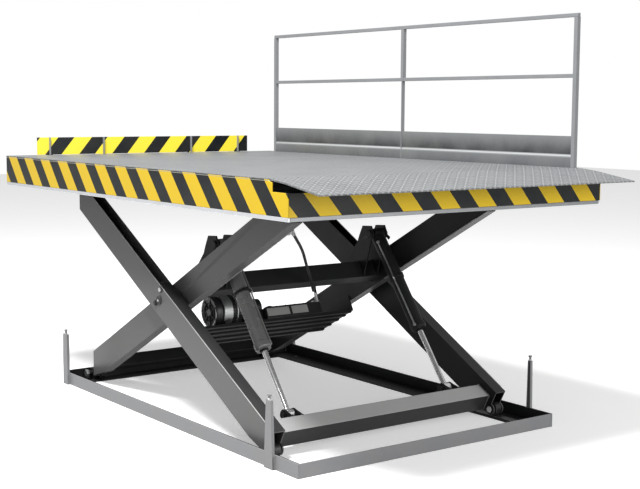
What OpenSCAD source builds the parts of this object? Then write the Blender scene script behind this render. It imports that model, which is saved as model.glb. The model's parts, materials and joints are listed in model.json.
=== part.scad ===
/* [Scissor] */
// Distance from the middle pin of a leg to each of its end pins
arm = 1530; // [1450:10:1540]
// Angle of the line through a leg's pins above the floor, as photographed
rest_angle = 29.5; // [24:0.1:32]
// How much flatter each leg's tube lies than the line through its pins
tube_cant = 1.4; // [1:0.1:1.6]
// Depth of a leg's tube, across its length
leg_depth = 200; // [180:2:210]
// Wall of the leg tubes
leg_wall = 8; // [5:1:12]
// Width of an outer leg's tube
outer_leg_w = 90; // [80:2:110]
// Width of an inner leg's tube
inner_leg_w = 80; // [70:2:100]
// Distance between the inner faces of the two outer legs
outer_leg_gap = 1760; // [1600:10:1800]
// Room between an inner and an outer leg
leg_spacing = 40; // [20:2:60]
// Distance from the rear pin to the upright end of an outer leg's tube
outer_end_cut = 108; // [90:2:140]
// Distance from the rear pin to the upright end of an inner leg's tube
inner_end_cut = 40; // [40:1:80]
// How far the open end of a leg's tube stops short of its roller axle
open_end_gap = 10; // [0:2:40]
// Diameter of the middle pins
middle_pin_d = 60; // [40:2:80]
// Diameter of the end pins and of the roller axles
end_pin_d = 36; // [24:2:44]
// Radius of the ends that the pins go through
pin_end_r = 34; // [26:1:40]
// Width of the tongue that a leg's rear pin goes through
tongue_w = 40; // [24:2:50]
// Thickness of the lug plates beside each tongue
lug_t = 12; // [8:1:16]

/* [Rollers] */
// Diameter of the four rollers
roller_d = 90; // [80:2:96]
// Width of a roller
roller_w = 50; // [40:2:54]

/* [Cross members] */
// Place of the torsion tube's middle along the inner legs, from the middle pins
torsion_u = 212; // [200:2:260]
// Place of the torsion tube's middle across the inner legs, above their middle
torsion_n = 0; // [-20:2:4]
// Size of the torsion tube along the legs
torsion_len = 125; // [100:1:130]
// Size of the torsion tube across the legs
torsion_depth = 124; // [100:2:140]
// Side of the square tube that joins the feet of the inner legs
foot_tube = 90; // [60:2:100]
// Distance of that tube from the foot pins, along the legs
foot_tube_in = 114; // [108:1:130]
// Place of that tube across the legs
foot_tube_n = -8; // [-20:1:0]
// Wall of the cross tubes
cross_wall = 8; // [4:1:12]
// Size of the front cross beam along the outer legs
beam_len = 125; // [90:2:130]
// Size of the front cross beam across the outer legs
beam_depth = 123; // [90:1:124]
// Distance from the front cross beam to the lower rollers' axles, along the legs
beam_to_axle = 52; // [48:1:60]
// Height of the front cross beam's top above the middle of the outer legs
beam_top_n = 42; // [30:1:60]

/* [Base] */
// Distance from the middle of the lift to the rear face of the base
base_back = 1385; // [1380:5:1450]
// Distance from the middle of the lift to the front face of the base
base_front = 1756; // [1700:2:1850]
// Room between an outer leg and the upright leg of the side angle
base_side_gap = 70; // [64:1:90]
// Height of the upright leg of the base angles
base_h = 90; // [70:2:110]
// Thickness of the base angles
base_t = 8; // [6:1:12]
// Width of the side angles' lower leg, which the rollers run on
side_flange_w = 180; // [178:2:200]
// Width of the front and rear angles' lower leg
end_flange_w = 150; // [140:2:200]
// Thickness of the flat bars that the lower rollers run on
track_t = 5; // [3:1:8]
// Width of those flat bars
track_w = 60; // [54:2:70]
// Diameter of the anchor holes
anchor_d = 18; // [14:1:26]
// Distance between the anchor holes along the base
anchor_x = 2300; // [1800:10:2320]
// Distance from the base's outside face in to the anchor holes
anchor_in = 58; // [50:1:62]

/* [Support posts] */
// Height of the front posts' caps above the floor
cap_h = 448; // [420:2:450]
// Height of the rear posts' caps above the floor
rear_cap_h = 424; // [400:2:450]
// Width of the front left post at its foot
post_foot = 92; // [60:2:100]
// Width of the front left post at its top
post_top = 49; // [40:1:56]
// Width of a rear post at its foot
rear_post_foot = 76; // [60:2:90]
// Width of a rear post at its top
rear_post_top = 68; // [40:1:70]
// Width of the front right post at its foot
narrow_post_foot = 40; // [34:2:60]
// Width of the front right post at its top
narrow_post_top = 26; // [24:1:34]
// Depth of the posts, outwards from the base
post_depth = 20; // [19:1:40]
// Wall of the posts
post_wall = 4; // [3:1:6]
// Distance from the middle of the lift to the rear posts
post_back_x = 1312; // [1290:1:1340]
// Distance from the middle of the lift to the front left post
post_front_left_x = 1478; // [1440:1:1600]
// Distance from the middle of the lift to the front right post
post_front_right_x = 1531; // [1440:1:1600]
// Diameter of the adjusting bolts
bolt_d = 16; // [12:1:18]
// Length of an adjusting bolt that stands above its post
bolt_out = 26; // [20:1:40]
// Diameter of the bolts' round caps
cap_d = 28; // [22:1:36]
// Thickness of the bolts' round caps
cap_t = 8; // [5:1:12]

/* [Platform] */
// Length of the platform without its lip
deck_len = 3880; // [3800:10:4000]
// Width of the platform
deck_w = 2500; // [2440:10:2560]
// Thickness of the deck plate
deck_t = 6; // [4:1:10]
// Height of the deck's top above the scissor's upper pins
pin_drop = 171.5; // [165:0.5:190]
// Depth of the striped skirt
skirt_d = 205; // [195:1:215]
// Thickness of the skirt
skirt_t = 6; // [4:1:10]
// Height of the pale strip along the skirt's lower edge
strip_h = 24; // [14:1:30]
// Thickness of that strip
strip_t = 14; // [8:1:24]
// Depth of the step that the lip lies in
step_d = 72; // [60:1:90]
// Distance from the front face back to the lip's hinge
hinge_back = 200; // [180:2:240]
// Depth of the beams under the deck
deck_beam_d = 60; // [40:2:70]
// Width of the beams under the deck
deck_beam_w = 60; // [40:2:80]
// Distance between the inner faces of the two long beams under the deck
long_beam_gap = 2060; // [2000:10:2080]
// Width of the long beams
long_beam_w = 60; // [50:2:80]
// Width of the rails that the upper rollers run under
rail_w = 60; // [50:2:70]
// Length of those rails
rail_len = 535; // [500:5:535]

/* [Lip] */
// Length of the lip from its hinge to its tip
lip_len = 472; // [400:2:520]
// Thickness of the lip's tread plate
lip_t = 8; // [6:1:10]
// How far the lip's first run slopes down as photographed
lip_slope = 5.5; // [4:0.1:6]
// Place of the bend along the lip
lip_bend_at = 150; // [100:5:250]
// How much further the lip slopes down past its bend
lip_bend = 3.3; // [1:0.1:5]
// Diameter of the hinge tubes
hinge_d = 26; // [20:1:30]
// Diameter of the hinge rods
hinge_rod_d = 14; // [10:1:16]
// Number of hinge tubes on the platform, one more than on the lip
hinge_count = 6; // [4:1:8]

/* [Rear stop] */
// Height of the stop plate above the deck
stop_h = 140; // [120:2:180]
// Length of the stop plate across the platform
stop_w = 1990; // [1800:10:2200]
// Thickness of the stop plate
stop_t = 8; // [6:1:12]
// Distance of the outer ribs and hinges from the middle of the stop plate
stop_out = 890; // [800:5:900]
// Distance of the inner ribs and hinges from the middle of the stop plate
stop_in = 415; // [200:5:500]
// Thickness of the ribs on the stop plate
stop_rib_t = 10; // [6:1:14]
// Depth of the ribs on the stop plate
stop_rib_d = 16; // [10:1:24]

/* [Railing] */
// Height of the railing above the deck
rail_h = 1021; // [950:1:1120]
// Side of the railing's square tubes
rail_tube = 30; // [26:1:40]
// Side of the railing's square rails
rail_bar = 26; // [20:1:30]
// Thickness of the middle post's flat bar
flat_bar_t = 8; // [5:1:12]
// Wall of the railing's tubes
rail_wall = 3; // [2:1:4]
// Place of the rear post's rear face
railing_back = -1818; // [-1840:1:-1700]
// Place of the front post's front face
railing_front = 1737; // [1600:1:1739]
// Place of the middle post's centre
railing_mid = -55; // [-300:1:300]
// Height of the middle rail's centre above the deck
mid_rail_h = 610; // [500:5:650]
// Height of the toe boards
toe_h = 210; // [150:5:230]
// Thickness of the toe boards
toe_t = 4; // [3:1:6]
// Height of the fold along the toe boards
toe_fold_h = 76; // [60:1:100]
// Depth of the fold along the toe boards
toe_fold_d = 10; // [6:1:16]

/* [Cylinders] */
// Place of the upper cylinder pin ahead of the middle pins
upper_pin_x = 335; // [327:1:343]
// Height of the upper cylinder pin above the middle pins
upper_pin_z = 395; // [389:1:399]
// Distance of the rod's pin behind the front cross beam, along the outer legs
rod_pin_back = 83; // [79:1:87]
// Place of the rod's pin across the outer legs
rod_pin_n = -18; // [-22:1:-12]
// Distance of each cylinder from the middle of the lift
cylinder_y = 663; // [640:1:680]
// Diameter of the barrels
barrel_d = 100; // [80:2:104]
// Wall of the barrels
barrel_wall = 10; // [6:1:14]
// Length from the upper pin to the gland end of a barrel
barrel_len = 810; // [800:1:820]
// Diameter of the rods
rod_d = 38; // [30:1:45]
// Diameter of the cylinders' pins
cylinder_pin_d = 40; // [30:2:44]
// Radius of the barrel's eye
barrel_eye_r = 40; // [36:1:48]
// Width of the barrel's eye
barrel_eye_w = 90; // [70:2:96]
// Radius of the rod's eye
rod_eye_r = 34; // [30:1:40]
// Width of the rod's eye
rod_eye_w = 50; // [40:2:60]
// Thickness of the bracket and lug plates
cheek_t = 12; // [8:1:16]
// Length of a cylinder's stroke that the piston has room for
stroke_room = 400; // [396:1:420]

/* [Power unit] */
// Diameter of the motor
motor_d = 234; // [200:2:236]
// Length of the motor
motor_len = 330; // [280:5:380]
// Place of the motor's free end across the lift
motor_y = -445; // [-560:5:-420]
// Place of the unit along the inner legs, behind the middle pins
unit_u = 265; // [230:2:300]
// Height of the motor's middle across the inner legs
motor_n = -44; // [-46:1:-30]
// Diameter of the pump
pump_d = 130; // [90:5:160]
// Height of the oil tank
tank_h = 92; // [60:1:94]
// Depth of the oil tank along the legs
tank_len = 200; // [160:5:240]
// Place of the oil tank's left end across the lift
tank_y = -28; // [-60:1:20]
// Length of the oil tank across the lift
tank_w = 498; // [400:2:540]
// Diameter of the hose
hose_d = 20; // [12:1:26]
// Depth of the tray below the middle of the inner legs
tray_n = 180; // [172:1:190]
// Thickness of the tray and of its hangers
tray_t = 8; // [5:1:10]
// Length of the tray along the legs
tray_len = 455; // [380:5:480]
// Length of the tray at its left end, which is cut back beside the motor
tray_short_len = 125; // [100:5:200]
// Distance of that cut from the middle, to the left
tray_step_y = 480; // [460:5:560]

/* [Hidden] */
$fn = 48;
// Running room between a pin and its hole, on the radius
run_fit = 0.1;
// Room between a roller and the face that it runs on
seat_gap = 0.3;
// Room at the side of pieces that turn past each other
side_gap = 3;
// Room beside pieces that swing past each other
swing_gap = 6;
// A cut reaches this far past the face that it goes through
over = 1;

pin_z = base_t + track_t + roller_d / 2 + seat_gap;
mid_z = pin_z + arm * sin(rest_angle);
top_z = mid_z + arm * sin(rest_angle);
reach_x = arm * cos(rest_angle);
deck_z = top_z + pin_drop;
tube_angle = rest_angle - tube_cant;
deck_back = -deck_len / 2;
deck_front = deck_len / 2;
hinge_x = deck_front - hinge_back;
half_w = deck_w / 2;

outer_y = outer_leg_gap / 2;
outer_mid_y = outer_y + outer_leg_w / 2;
inner_y = outer_y - leg_spacing - inner_leg_w;
inner_mid_y = inner_y + inner_leg_w / 2;
base_y = outer_y + outer_leg_w + base_side_gap + base_t;
half_leg = leg_depth / 2;
end_u = arm * cos(tube_cant);
end_n = arm * sin(tube_cant);
open_u = end_u - open_end_gap;

// The trim along the lower corner keeps the legs off the base when they lie flat
trim_u = end_u - 206;
trim_n = half_leg - 29;
roller_slot_u = end_u - roller_d / 2 - 20;
lower_hole_u = 60;

beam_end_n = beam_top_n - beam_depth;
foot_tube_u = end_u - foot_tube_in;
torsion_back = torsion_u - torsion_len / 2;
torsion_front = torsion_u + torsion_len / 2;
torsion_low = torsion_n - torsion_depth / 2;
torsion_top = torsion_n + torsion_depth / 2;

beam_u = end_u - beam_to_axle - beam_len;
rod_pin_u = beam_u - rod_pin_back;
rod_pin_x = rod_pin_u * cos(tube_angle) + rod_pin_n * sin(tube_angle);
rod_pin_z = rod_pin_u * sin(tube_angle) - rod_pin_n * cos(tube_angle);

// Cylinder axis at rest, from the upper pin to the rod's pin
cyl_dx = rod_pin_x - upper_pin_x;
cyl_dz = rod_pin_z + upper_pin_z;
cyl_len = sqrt(cyl_dx * cyl_dx + cyl_dz * cyl_dz);
cyl_angle = atan2(cyl_dz, cyl_dx);
piston_t = 40;
barrel_bottom = 60;
piston_s = barrel_bottom + stroke_room;
gland_t = 30;

// Place of the upper cylinder pin in the frame of the inner legs
upper_pin_u = upper_pin_x * cos(tube_angle) + upper_pin_z * sin(tube_angle);
upper_pin_n = upper_pin_z * cos(tube_angle) - upper_pin_x * sin(tube_angle);

hose_end_len = 70;
hose_block_u = 1325;
hose_places = [
  [-158, 467, 725], [-150, 452, 775], [-60, 387, 790], [250, 150, 815], [384, 24, 940],
  [520, -100, 1030], [850, -379, 1200], [1205, -697, 1351]
];

strip_top = deck_z - skirt_d;
strip_low = strip_top - strip_h;
step_z = deck_z - step_d;
rail_top_z = deck_z - deck_t;
rail_low_z = top_z + roller_d / 2 + seat_gap;

hinge_z = deck_z - hinge_d / 2;
knuckle_w = 2 * (half_w - skirt_t) / (2 * hinge_count + 1);
stop_hinge_d = 22;
stop_rod_d = 10;
stop_hinge_x = deck_back + stop_hinge_d / 2;
stop_hinge_z = deck_z - stop_hinge_d / 2;
stop_knuckle_w = 60;
stop_places = [-stop_out, -stop_in, stop_in, stop_out];
// The deck and the rear beam stop short here, round the hinges
stop_notch_x = deck_back + stop_hinge_d + 2;
stop_notch_y = stop_w / 2 + 5;
stop_sill_z = deck_z - stop_hinge_d - 3;

railing_y = half_w - 10 - rail_tube;
steel_grey = [0.50, 0.50, 0.50];
dark_grey = [0.20, 0.20, 0.21];
pale_grey = [0.70, 0.70, 0.70];
yellow = [0.93, 0.80, 0.20];
white_grey = [0.85, 0.86, 0.87];
chrome = [0.90, 0.90, 0.92];

// Placing

// Mirrors a piece of the right side to the left side when side is -1
module on_side(side) {
  if (side > 0) children();
  else mirror([0, 1, 0]) children();
}

module both_sides() {
  on_side(1) children();
  on_side(-1) children();
}

// Draws a flat shape of the x-z plane as a plate from y0 to y1
module upright_plate(y0, y1) {
  translate([0, y1, 0]) rotate([90, 0, 0]) linear_extrude(height = y1 - y0) children();
}

// A cylinder along y from y0 to y1
module cross_rod(r, y0, y1) {
  translate([0, y0, 0]) rotate([-90, 0, 0]) cylinder(r = r, h = y1 - y0);
}

// Frame of an outer leg's tube: x runs down along the leg, z across it
module outer_frame() {
  translate([0, 0, mid_z]) rotate([0, tube_angle, 0]) children();
}

// Frame of an inner leg's tube: x runs up along the leg, z across it
module inner_frame() {
  translate([0, 0, mid_z]) rotate([0, -tube_angle, 0]) children();
}

// Frame of a cylinder: x runs from the upper pin to the rod's pin
module cylinder_frame() {
  translate([upper_pin_x, cylinder_y, mid_z + upper_pin_z]) rotate([0, cyl_angle, 0]) children();
}

// Legs, drawn as the outer leg lies; an inner leg is its mirror image

// The upright end of the tube passes through this place at the height n
function cut_u(cut, n) = (cut - reach_x - n * sin(tube_angle)) / cos(tube_angle);

module leg_outline(cut) {
  polygon([
    [open_u, half_leg], [open_u, end_n - half_leg / 2], [end_u, -end_n], [open_u, -trim_n],
    [trim_u, -half_leg], [cut_u(cut, -half_leg), -half_leg],
    [cut_u(cut, trim_n), trim_n], [-trim_u, half_leg]
  ]);
  translate([end_u, -end_n]) circle(r = pin_end_r + 4);
}

// The room inside the tube, with the slot that the roller hangs in
module leg_hollow(cut, open_top) {
  polygon([
    [open_u + roller_d, half_leg - leg_wall], [open_u + roller_d, -leg_depth],
    [roller_slot_u, -leg_depth], [roller_slot_u, leg_wall - half_leg + 22],
    [trim_u, leg_wall - half_leg], [cut_u(cut, -half_leg) + 2 * leg_wall, leg_wall - half_leg],
    [cut_u(cut, trim_n) + 4 * leg_wall, trim_n - leg_wall], [-trim_u, half_leg - leg_wall]
  ]);
  if (open_top)
    polygon([
      [-lower_hole_u, 0], [-lower_hole_u, leg_depth], [cut_u(cut, half_leg) + 4 * leg_wall, leg_depth],
      [cut_u(cut, half_leg) + 4 * leg_wall, 0]
    ]);
}

// One leg between y0 and y1; what turns on the middle pin gets a bored sleeve
module leg(y0, y1, cut, open_top, bored) {
  mid_y = (y0 + y1) / 2;
  difference() {
    union() {
      difference() {
        upright_plate(y0, y1) leg_outline(cut);
        upright_plate(y0 + leg_wall, y1 - leg_wall) leg_hollow(cut, open_top);
      }
      // Sleeve round the middle pin
      cross_rod(middle_pin_d / 2 + 15, y0, y1);
      // Tongue for the rear pin
      upright_plate(mid_y - tongue_w / 2, mid_y + tongue_w / 2) {
        translate([-end_u, end_n]) circle(r = pin_end_r);
        polygon([
          [-end_u, end_n + pin_end_r], [-end_u, end_n - pin_end_r],
          [cut_u(cut, end_n - pin_end_r) + leg_wall, end_n - pin_end_r - 20],
          [cut_u(cut, end_n + pin_end_r) + leg_wall, end_n + pin_end_r - 4]
        ]);
      }
      // Roller axle, with a collar on each side of the roller
      translate([end_u, 0, -end_n]) {
        cross_rod(end_pin_d / 2, y0 - 6, y1 + 6);
        cross_rod(end_pin_d / 2 + 8, y0 + over, mid_y - roller_w / 2 - side_gap / 2);
        cross_rod(end_pin_d / 2 + 8, mid_y + roller_w / 2 + side_gap / 2, y1 - over);
      }
    }
    if (bored) cross_rod(middle_pin_d / 2 + run_fit, y0 - over, y1 + over);
    translate([-end_u, 0, end_n]) cross_rod(end_pin_d / 2 + run_fit, y0 - over, y1 + over);
  }
}

module outer_leg(side) {
  color(steel_grey) on_side(side) outer_frame()
    leg(outer_y, outer_y + outer_leg_w, outer_end_cut, true, true);
}

// The middle pin is part of the inner leg, with a spacing collar between the legs
module inner_leg(side) {
  color(steel_grey) on_side(side) {
    inner_frame() mirror([0, 0, 1]) leg(inner_y, inner_y + inner_leg_w, inner_end_cut, false, false);
    translate([0, 0, mid_z]) {
      cross_rod(middle_pin_d / 2, inner_y, outer_y + outer_leg_w + 8);
      cross_rod(middle_pin_d / 2 + 15, inner_y, outer_y - seat_gap);
    }
  }
}

module roller(mid_y) {
  color(chrome) translate([0, mid_y - roller_w / 2, 0]) rotate([-90, 0, 0]) difference() {
    cylinder(d = roller_d, h = roller_w);
    translate([0, 0, -over]) cylinder(d = end_pin_d + 2 * run_fit, h = roller_w + 2 * over);
  }
}

module bottom_roller(side) {
  on_side(side) translate([reach_x, 0, pin_z]) roller(outer_mid_y);
}

module top_roller(side) {
  on_side(side) translate([reach_x, 0, top_z]) roller(inner_mid_y);
}

// Cross members

// A tube of the given size from one leg to the other
module cross_tube(u, n, size_u, size_n, y) {
  translate([u, 0, n]) difference() {
    cube([size_u, 2 * y, size_n], center = true);
    cube([size_u - 2 * cross_wall, 2 * y + 2, size_n - 2 * cross_wall], center = true);
  }
}

module inner_cross_tubes() {
  color(dark_grey) inner_frame() {
    cross_tube(torsion_u, torsion_n, torsion_len, torsion_depth, inner_y);
    cross_tube(-foot_tube_u, foot_tube_n, foot_tube, foot_tube, inner_y);
  }
}

module front_cross_beam() {
  color(steel_grey) outer_frame()
    cross_tube(beam_u + beam_len / 2, beam_top_n - beam_depth / 2, beam_len, beam_depth, outer_y);
}

// Cylinders and their brackets

bracket_gap = barrel_d / 2 + swing_gap;
// The bracket's edge from above the torsion tube round its ear, from the pin
bracket_edge = [[-282, -38], [-242, -22], [-160, 8], [-121, 40], [-50, 90], [41, 49], [40, 0]];
bracket_ear_r = 40;
bracket_foot = 60;

module bracket_outline() {
  difference() {
    union() {
      translate([upper_pin_u, upper_pin_n]) circle(r = bracket_ear_r);
      polygon([
        [torsion_back, torsion_top], [torsion_back, upper_pin_n - bracket_foot], for (q = bracket_edge)
        [upper_pin_u + q[0], upper_pin_n + q[1]], [torsion_front, torsion_low + 6]
      ]);
    }
    translate([torsion_back, torsion_low]) square([torsion_len, torsion_depth]);
  }
}

// Two plates and their pin, on the torsion tube
module cylinder_brackets() {
  color(dark_grey) both_sides() inner_frame() {
    for (way = [-1, 1]) {
      near = cylinder_y + way * bracket_gap;
      far = cylinder_y + way * (bracket_gap + cheek_t);
      upright_plate(min(near, far), max(near, far)) bracket_outline();
    }
    reach = bracket_gap + cheek_t + 8;
    translate([upper_pin_u, 0, upper_pin_n])
      cross_rod(cylinder_pin_d / 2, cylinder_y - reach, cylinder_y + reach);
  }
}

module barrel(side) {
  color(steel_grey) on_side(side) cylinder_frame() difference() {
    union() {
      cross_rod(barrel_eye_r, -barrel_eye_w / 2, barrel_eye_w / 2);
      translate([30, 0, 0]) rotate([0, 90, 0]) cylinder(d = barrel_d, h = barrel_len - 30);
    }
    cross_rod(cylinder_pin_d / 2 + run_fit, -barrel_d, barrel_d);
    translate([60, 0, 0]) rotate([0, 90, 0])
      cylinder(d = barrel_d - 2 * barrel_wall, h = barrel_len - 60 - gland_t);
    translate([60, 0, 0]) rotate([0, 90, 0]) cylinder(d = rod_d + 2 * run_fit, h = barrel_len);
  }
}

module rod(side) {
  color(chrome) on_side(side) cylinder_frame() {
    translate([piston_s, 0, 0]) rotate([0, 90, 0]) cylinder(d = rod_d, h = cyl_len - piston_s);
    translate([piston_s, 0, 0]) rotate([0, 90, 0])
      cylinder(d = barrel_d - 2 * barrel_wall - 2 * seat_gap, h = piston_t);
    translate([cyl_len, 0, 0]) cross_rod(rod_eye_r, -rod_eye_w / 2, rod_eye_w / 2);
  }
}

lug_gap = rod_eye_w / 2 + swing_gap;
rod_lug_r = rod_eye_r + 2;

// Lug plates behind the cross beam; their pins stop short of the rod's eye
module rod_lugs() {
  color(dark_grey) both_sides() outer_frame()
    for (way = [-1, 1]) {
      near = cylinder_y + way * lug_gap;
      far = cylinder_y + way * (lug_gap + cheek_t);
      upright_plate(min(near, far), max(near, far)) {
        translate([rod_pin_u, rod_pin_n]) circle(r = rod_lug_r);
        polygon([
          [rod_pin_u, rod_pin_n + rod_lug_r], [beam_u, beam_top_n],
          [beam_u, beam_end_n + 10], [rod_pin_u, rod_pin_n - rod_lug_r]
        ]);
      }
      translate([rod_pin_u, 0, rod_pin_n])
        cross_rod(cylinder_pin_d / 2, min(near, far + way * 10), max(near, far + way * 10));
    }
}

// Base

module base_side(side) {
  color(pale_grey) on_side(side) difference() {
    union() {
      translate([-base_back, base_y - base_t, 0]) cube([base_back + base_front, base_t, base_h]);
      translate([base_t - base_back, base_y - side_flange_w, 0])
        cube([base_back + base_front - 2 * base_t, side_flange_w - base_t, base_t]);
    }
    for (x = [-anchor_x / 2, anchor_x / 2])
      translate([x, base_y - anchor_in, -over]) cylinder(d = anchor_d, h = base_t + 2 * over);
  }
}

bar_y = base_y - side_flange_w;

module base_front_bar() {
  color(pale_grey) {
    translate([base_front - base_t, -(base_y - base_t), 0]) cube([base_t, 2 * (base_y - base_t), base_h]);
    translate([base_front - end_flange_w, -bar_y, 0]) cube([end_flange_w - base_t, 2 * bar_y, base_t]);
  }
}

module base_rear_bar() {
  color(dark_grey) {
    translate([-base_back, -(base_y - base_t), 0]) cube([base_t, 2 * (base_y - base_t), base_h]);
    translate([-base_back + base_t, -bar_y, 0]) cube([end_flange_w - base_t, 2 * bar_y, base_t]);
  }
}

lug_near = tongue_w / 2 + side_gap;
lug_far = lug_near + lug_t;

// Two lug plates and a pin on each side, at the feet of the inner legs
module foot_lugs() {
  color(steel_grey) both_sides() {
    for (y = [inner_mid_y - lug_far, inner_mid_y + lug_near]) {
      translate([-reach_x, 0, pin_z]) cross_rod(pin_end_r, y, y + lug_t);
      translate([-reach_x - pin_end_r, y, base_t]) cube([pin_end_r + 10, lug_t, pin_z - base_t]);
    }
    translate([-reach_x, 0, pin_z])
      cross_rod(end_pin_d / 2, inner_mid_y - lug_far - 8, inner_mid_y + lug_far + 30);
  }
}

// A tapered channel, open towards the base, with an adjusting bolt and a round cap
module support_post(x, foot, top, height) {
  post_h = height - cap_t - bolt_out;
  translate([x, base_y, 0]) {
    difference() {
      upright_plate(0, post_depth)
        polygon([[-foot / 2, 0], [foot / 2, 0], [top / 2, post_h], [-top / 2, post_h]]);
      upright_plate(-over, post_depth - post_wall)
        polygon([
          [post_wall - foot / 2, -over], [foot / 2 - post_wall, -over],
          [top / 2 - post_wall, post_h - post_wall], [post_wall - top / 2, post_h - post_wall]
        ]);
    }
    translate([0, post_depth / 2, post_h - post_wall]) cylinder(d = bolt_d, h = bolt_out + post_wall);
    translate([0, post_depth / 2, height - cap_t]) cylinder(d = cap_d, h = cap_t);
  }
}

module support_posts() {
  color(steel_grey) {
    on_side(-1) support_post(post_front_left_x, post_foot, post_top, cap_h);
    support_post(post_front_right_x, narrow_post_foot, narrow_post_top, cap_h);
    both_sides() support_post(-post_back_x, rear_post_foot, rear_post_top, rear_cap_h);
  }
}

// Flat bars on the side angles that the lower rollers run on
track_x = reach_x - 160;

module roller_tracks() {
  color(chrome) both_sides()
    translate([track_x, outer_mid_y - track_w / 2, base_t])
      cube([base_front - base_t - track_x, track_w, track_t]);
}

// Power unit, in the frame of the inner legs

tray_y = inner_y - tray_t;

// A tray between two hangers that are fixed to the inner legs, with a rim at its rear and a shorter left end
tray_back_u = tank_len / 2 - unit_u - tray_len;
tray_rim_h = 38;
hanger_top = 60;

module unit_tray() {
  color(dark_grey) inner_frame() {
    translate([tray_back_u, -tray_step_y, -tray_n]) {
      cube([tray_len, tray_step_y + tray_y, tray_t]);
      cube([tray_t, tray_step_y + tray_y, tray_rim_h]);
    }
    translate([tray_back_u, tray_y, -tray_n]) cube([tray_len, tray_t, tray_n - hanger_top]);
    translate([tray_back_u + tray_len - tray_short_len, -tray_y, -tray_n]) {
      cube([tray_short_len, tray_y, tray_t]);
      translate([0, -tray_t, 0]) cube([tray_short_len, tray_t, tray_n - hanger_top]);
    }
  }
}

tray_floor_n = tray_t - tray_n;
pump_y = motor_y + motor_len;

// The motor with its two feet
module motor() {
  color(dark_grey) inner_frame() translate([-unit_u, 0, motor_n]) {
    cross_rod(motor_d / 2, motor_y, pump_y);
    for (y = [motor_y + 0.2 * motor_len, pump_y - 0.3 * motor_len])
      translate([-motor_d / 3, y, tray_floor_n - motor_n])
        cube([2 * motor_d / 3, motor_len / 8, motor_n - tray_floor_n - motor_d / 3]);
  }
}

module oil_tank() {
  color(dark_grey) inner_frame() translate([-unit_u - tank_len / 2, tank_y, tray_floor_n])
    cube([tank_len, tank_w, tank_h]);
}

// The pump between motor and tank
module pump() {
  color(steel_grey) inner_frame() translate([-unit_u, 0, motor_n]) {
    cross_rod(pump_d / 2, pump_y, tank_y);
    translate([-pump_d / 3, tank_y - pump_d / 2, tray_floor_n - motor_n])
      cube([2 * pump_d / 3, pump_d / 2, motor_n - tray_floor_n]);
  }
}

// A round tube along the given places; the first ring lies across the first run
function ring_dir(p, i) = let (a = p[max(i - 1, 0)], b = p[min(i + 1, len(p) - 1)]) (b - a) / norm(b - a);
function ring_side(d) = let (c = cross(d, [0, 1, 0.2])) c / norm(c);
function ring_at(p, i, r, n) = let (d = ring_dir(p, i), e = ring_side(d), f = cross(d, e))
  [for (k = [0 : n - 1]) p[i] + r * (cos(360 * k / n) * e + sin(360 * k / n) * f)];

// Rounded places between hand-chosen ones, four to each stretch
function between(a, b, c, d, t) = 0.5 * (2 * b + (c - a) * t + (2 * a - 5 * b + 4 * c - d) * t * t
  + (3 * b - a - 3 * c + d) * t * t * t);
function rounded(q) = [for (i = [0 : len(q) - 2]) for (t = [0 : 0.25 : (i == len(q) - 2 ? 1 : 0.76)])
  between(q[max(i - 1, 0)], q[i], q[i + 1], q[min(i + 2, len(q) - 1)], t)];

module round_tube(places, r) {
  sides = 10;
  p = rounded(places);
  rings = [for (i = [0 : len(p) - 1]) each ring_at(p, i, r, sides)];
  last = (len(p) - 1) * sides;
  polyhedron(points = rings, faces = concat(
    [[for (k = [0 : sides - 1]) k]],
    [for (i = [0 : len(p) - 2]) for (k = [0 : sides - 1])
      [i * sides + k, (i + 1) * sides + k, (i + 1) * sides + (k + 1) % sides, i * sides + (k + 1) % sides]],
    [[for (k = [sides - 1 : -1 : 0]) last + k]]
  ));
}

// The hose from the tank up to the left inner leg, in the lift's frame
module hose() {
  color([0.08, 0.08, 0.08]) round_tube(hose_places, hose_d / 2);
}

// A round fitting along the hose's run, whose end meets the hose face to face
module hose_end(at, dir) {
  translate(at) rotate([0, acos(dir[2]), atan2(dir[1], dir[0])]) cylinder(d = hose_d + 6, h = hose_end_len);
}

// A block on the tank and one on the left inner leg, each with its round fitting
module hose_fittings() {
  run = rounded(hose_places);
  last = len(run) - 1;
  color(steel_grey) {
    inner_frame() {
      translate([-unit_u + 24, 440, tray_floor_n + tank_h]) cube([40, 60, 24]);
      translate([hose_block_u, -inner_y, -half_leg]) cube([60, 25, 32]);
    }
    hose_end(run[0], -ring_dir(run, 0));
    hose_end(run[last], ring_dir(run, last));
  }
}

// Platform

module deck_plate() {
  color(pale_grey) difference() {
    translate([deck_back, -half_w, deck_z - deck_t]) cube([hinge_x - deck_back, deck_w, deck_t]);
    translate([deck_back - over, -stop_notch_y, deck_z - deck_t - over])
      cube([stop_notch_x - deck_back + over, 2 * stop_notch_y, deck_t + 2 * over]);
  }
}

// A skirt is stepped down at its front end, under the lip, with a nose beside the hinge
skirt_nose = 45;

module side_skirts() {
  color(yellow) both_sides() upright_plate(half_w - skirt_t, half_w)
    polygon([
      [deck_back, strip_top], [deck_front, strip_top], [deck_front, step_z], [hinge_x + skirt_nose, step_z],
      [hinge_x + skirt_nose, deck_z - 21], [hinge_x + 20, deck_z - 17], [hinge_x + 4, deck_z - deck_t],
      [deck_back, deck_z - deck_t]
    ]);
}

skirt_y = half_w - skirt_t;
sill_t = 6;

// The front beam is an angle: its face carries stripes, its top closes the step
module front_beam() {
  color(yellow) {
    translate([deck_front - skirt_t, -skirt_y, strip_top]) cube([skirt_t, 2 * skirt_y, step_z - strip_top]);
    translate([hinge_x, -skirt_y, step_z - sill_t]) cube([hinge_back - skirt_t, 2 * skirt_y, sill_t]);
    translate([hinge_x, -skirt_y, step_z]) cube([skirt_t, 2 * skirt_y, deck_z - deck_t - hinge_d - step_z]);
  }
}

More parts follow.
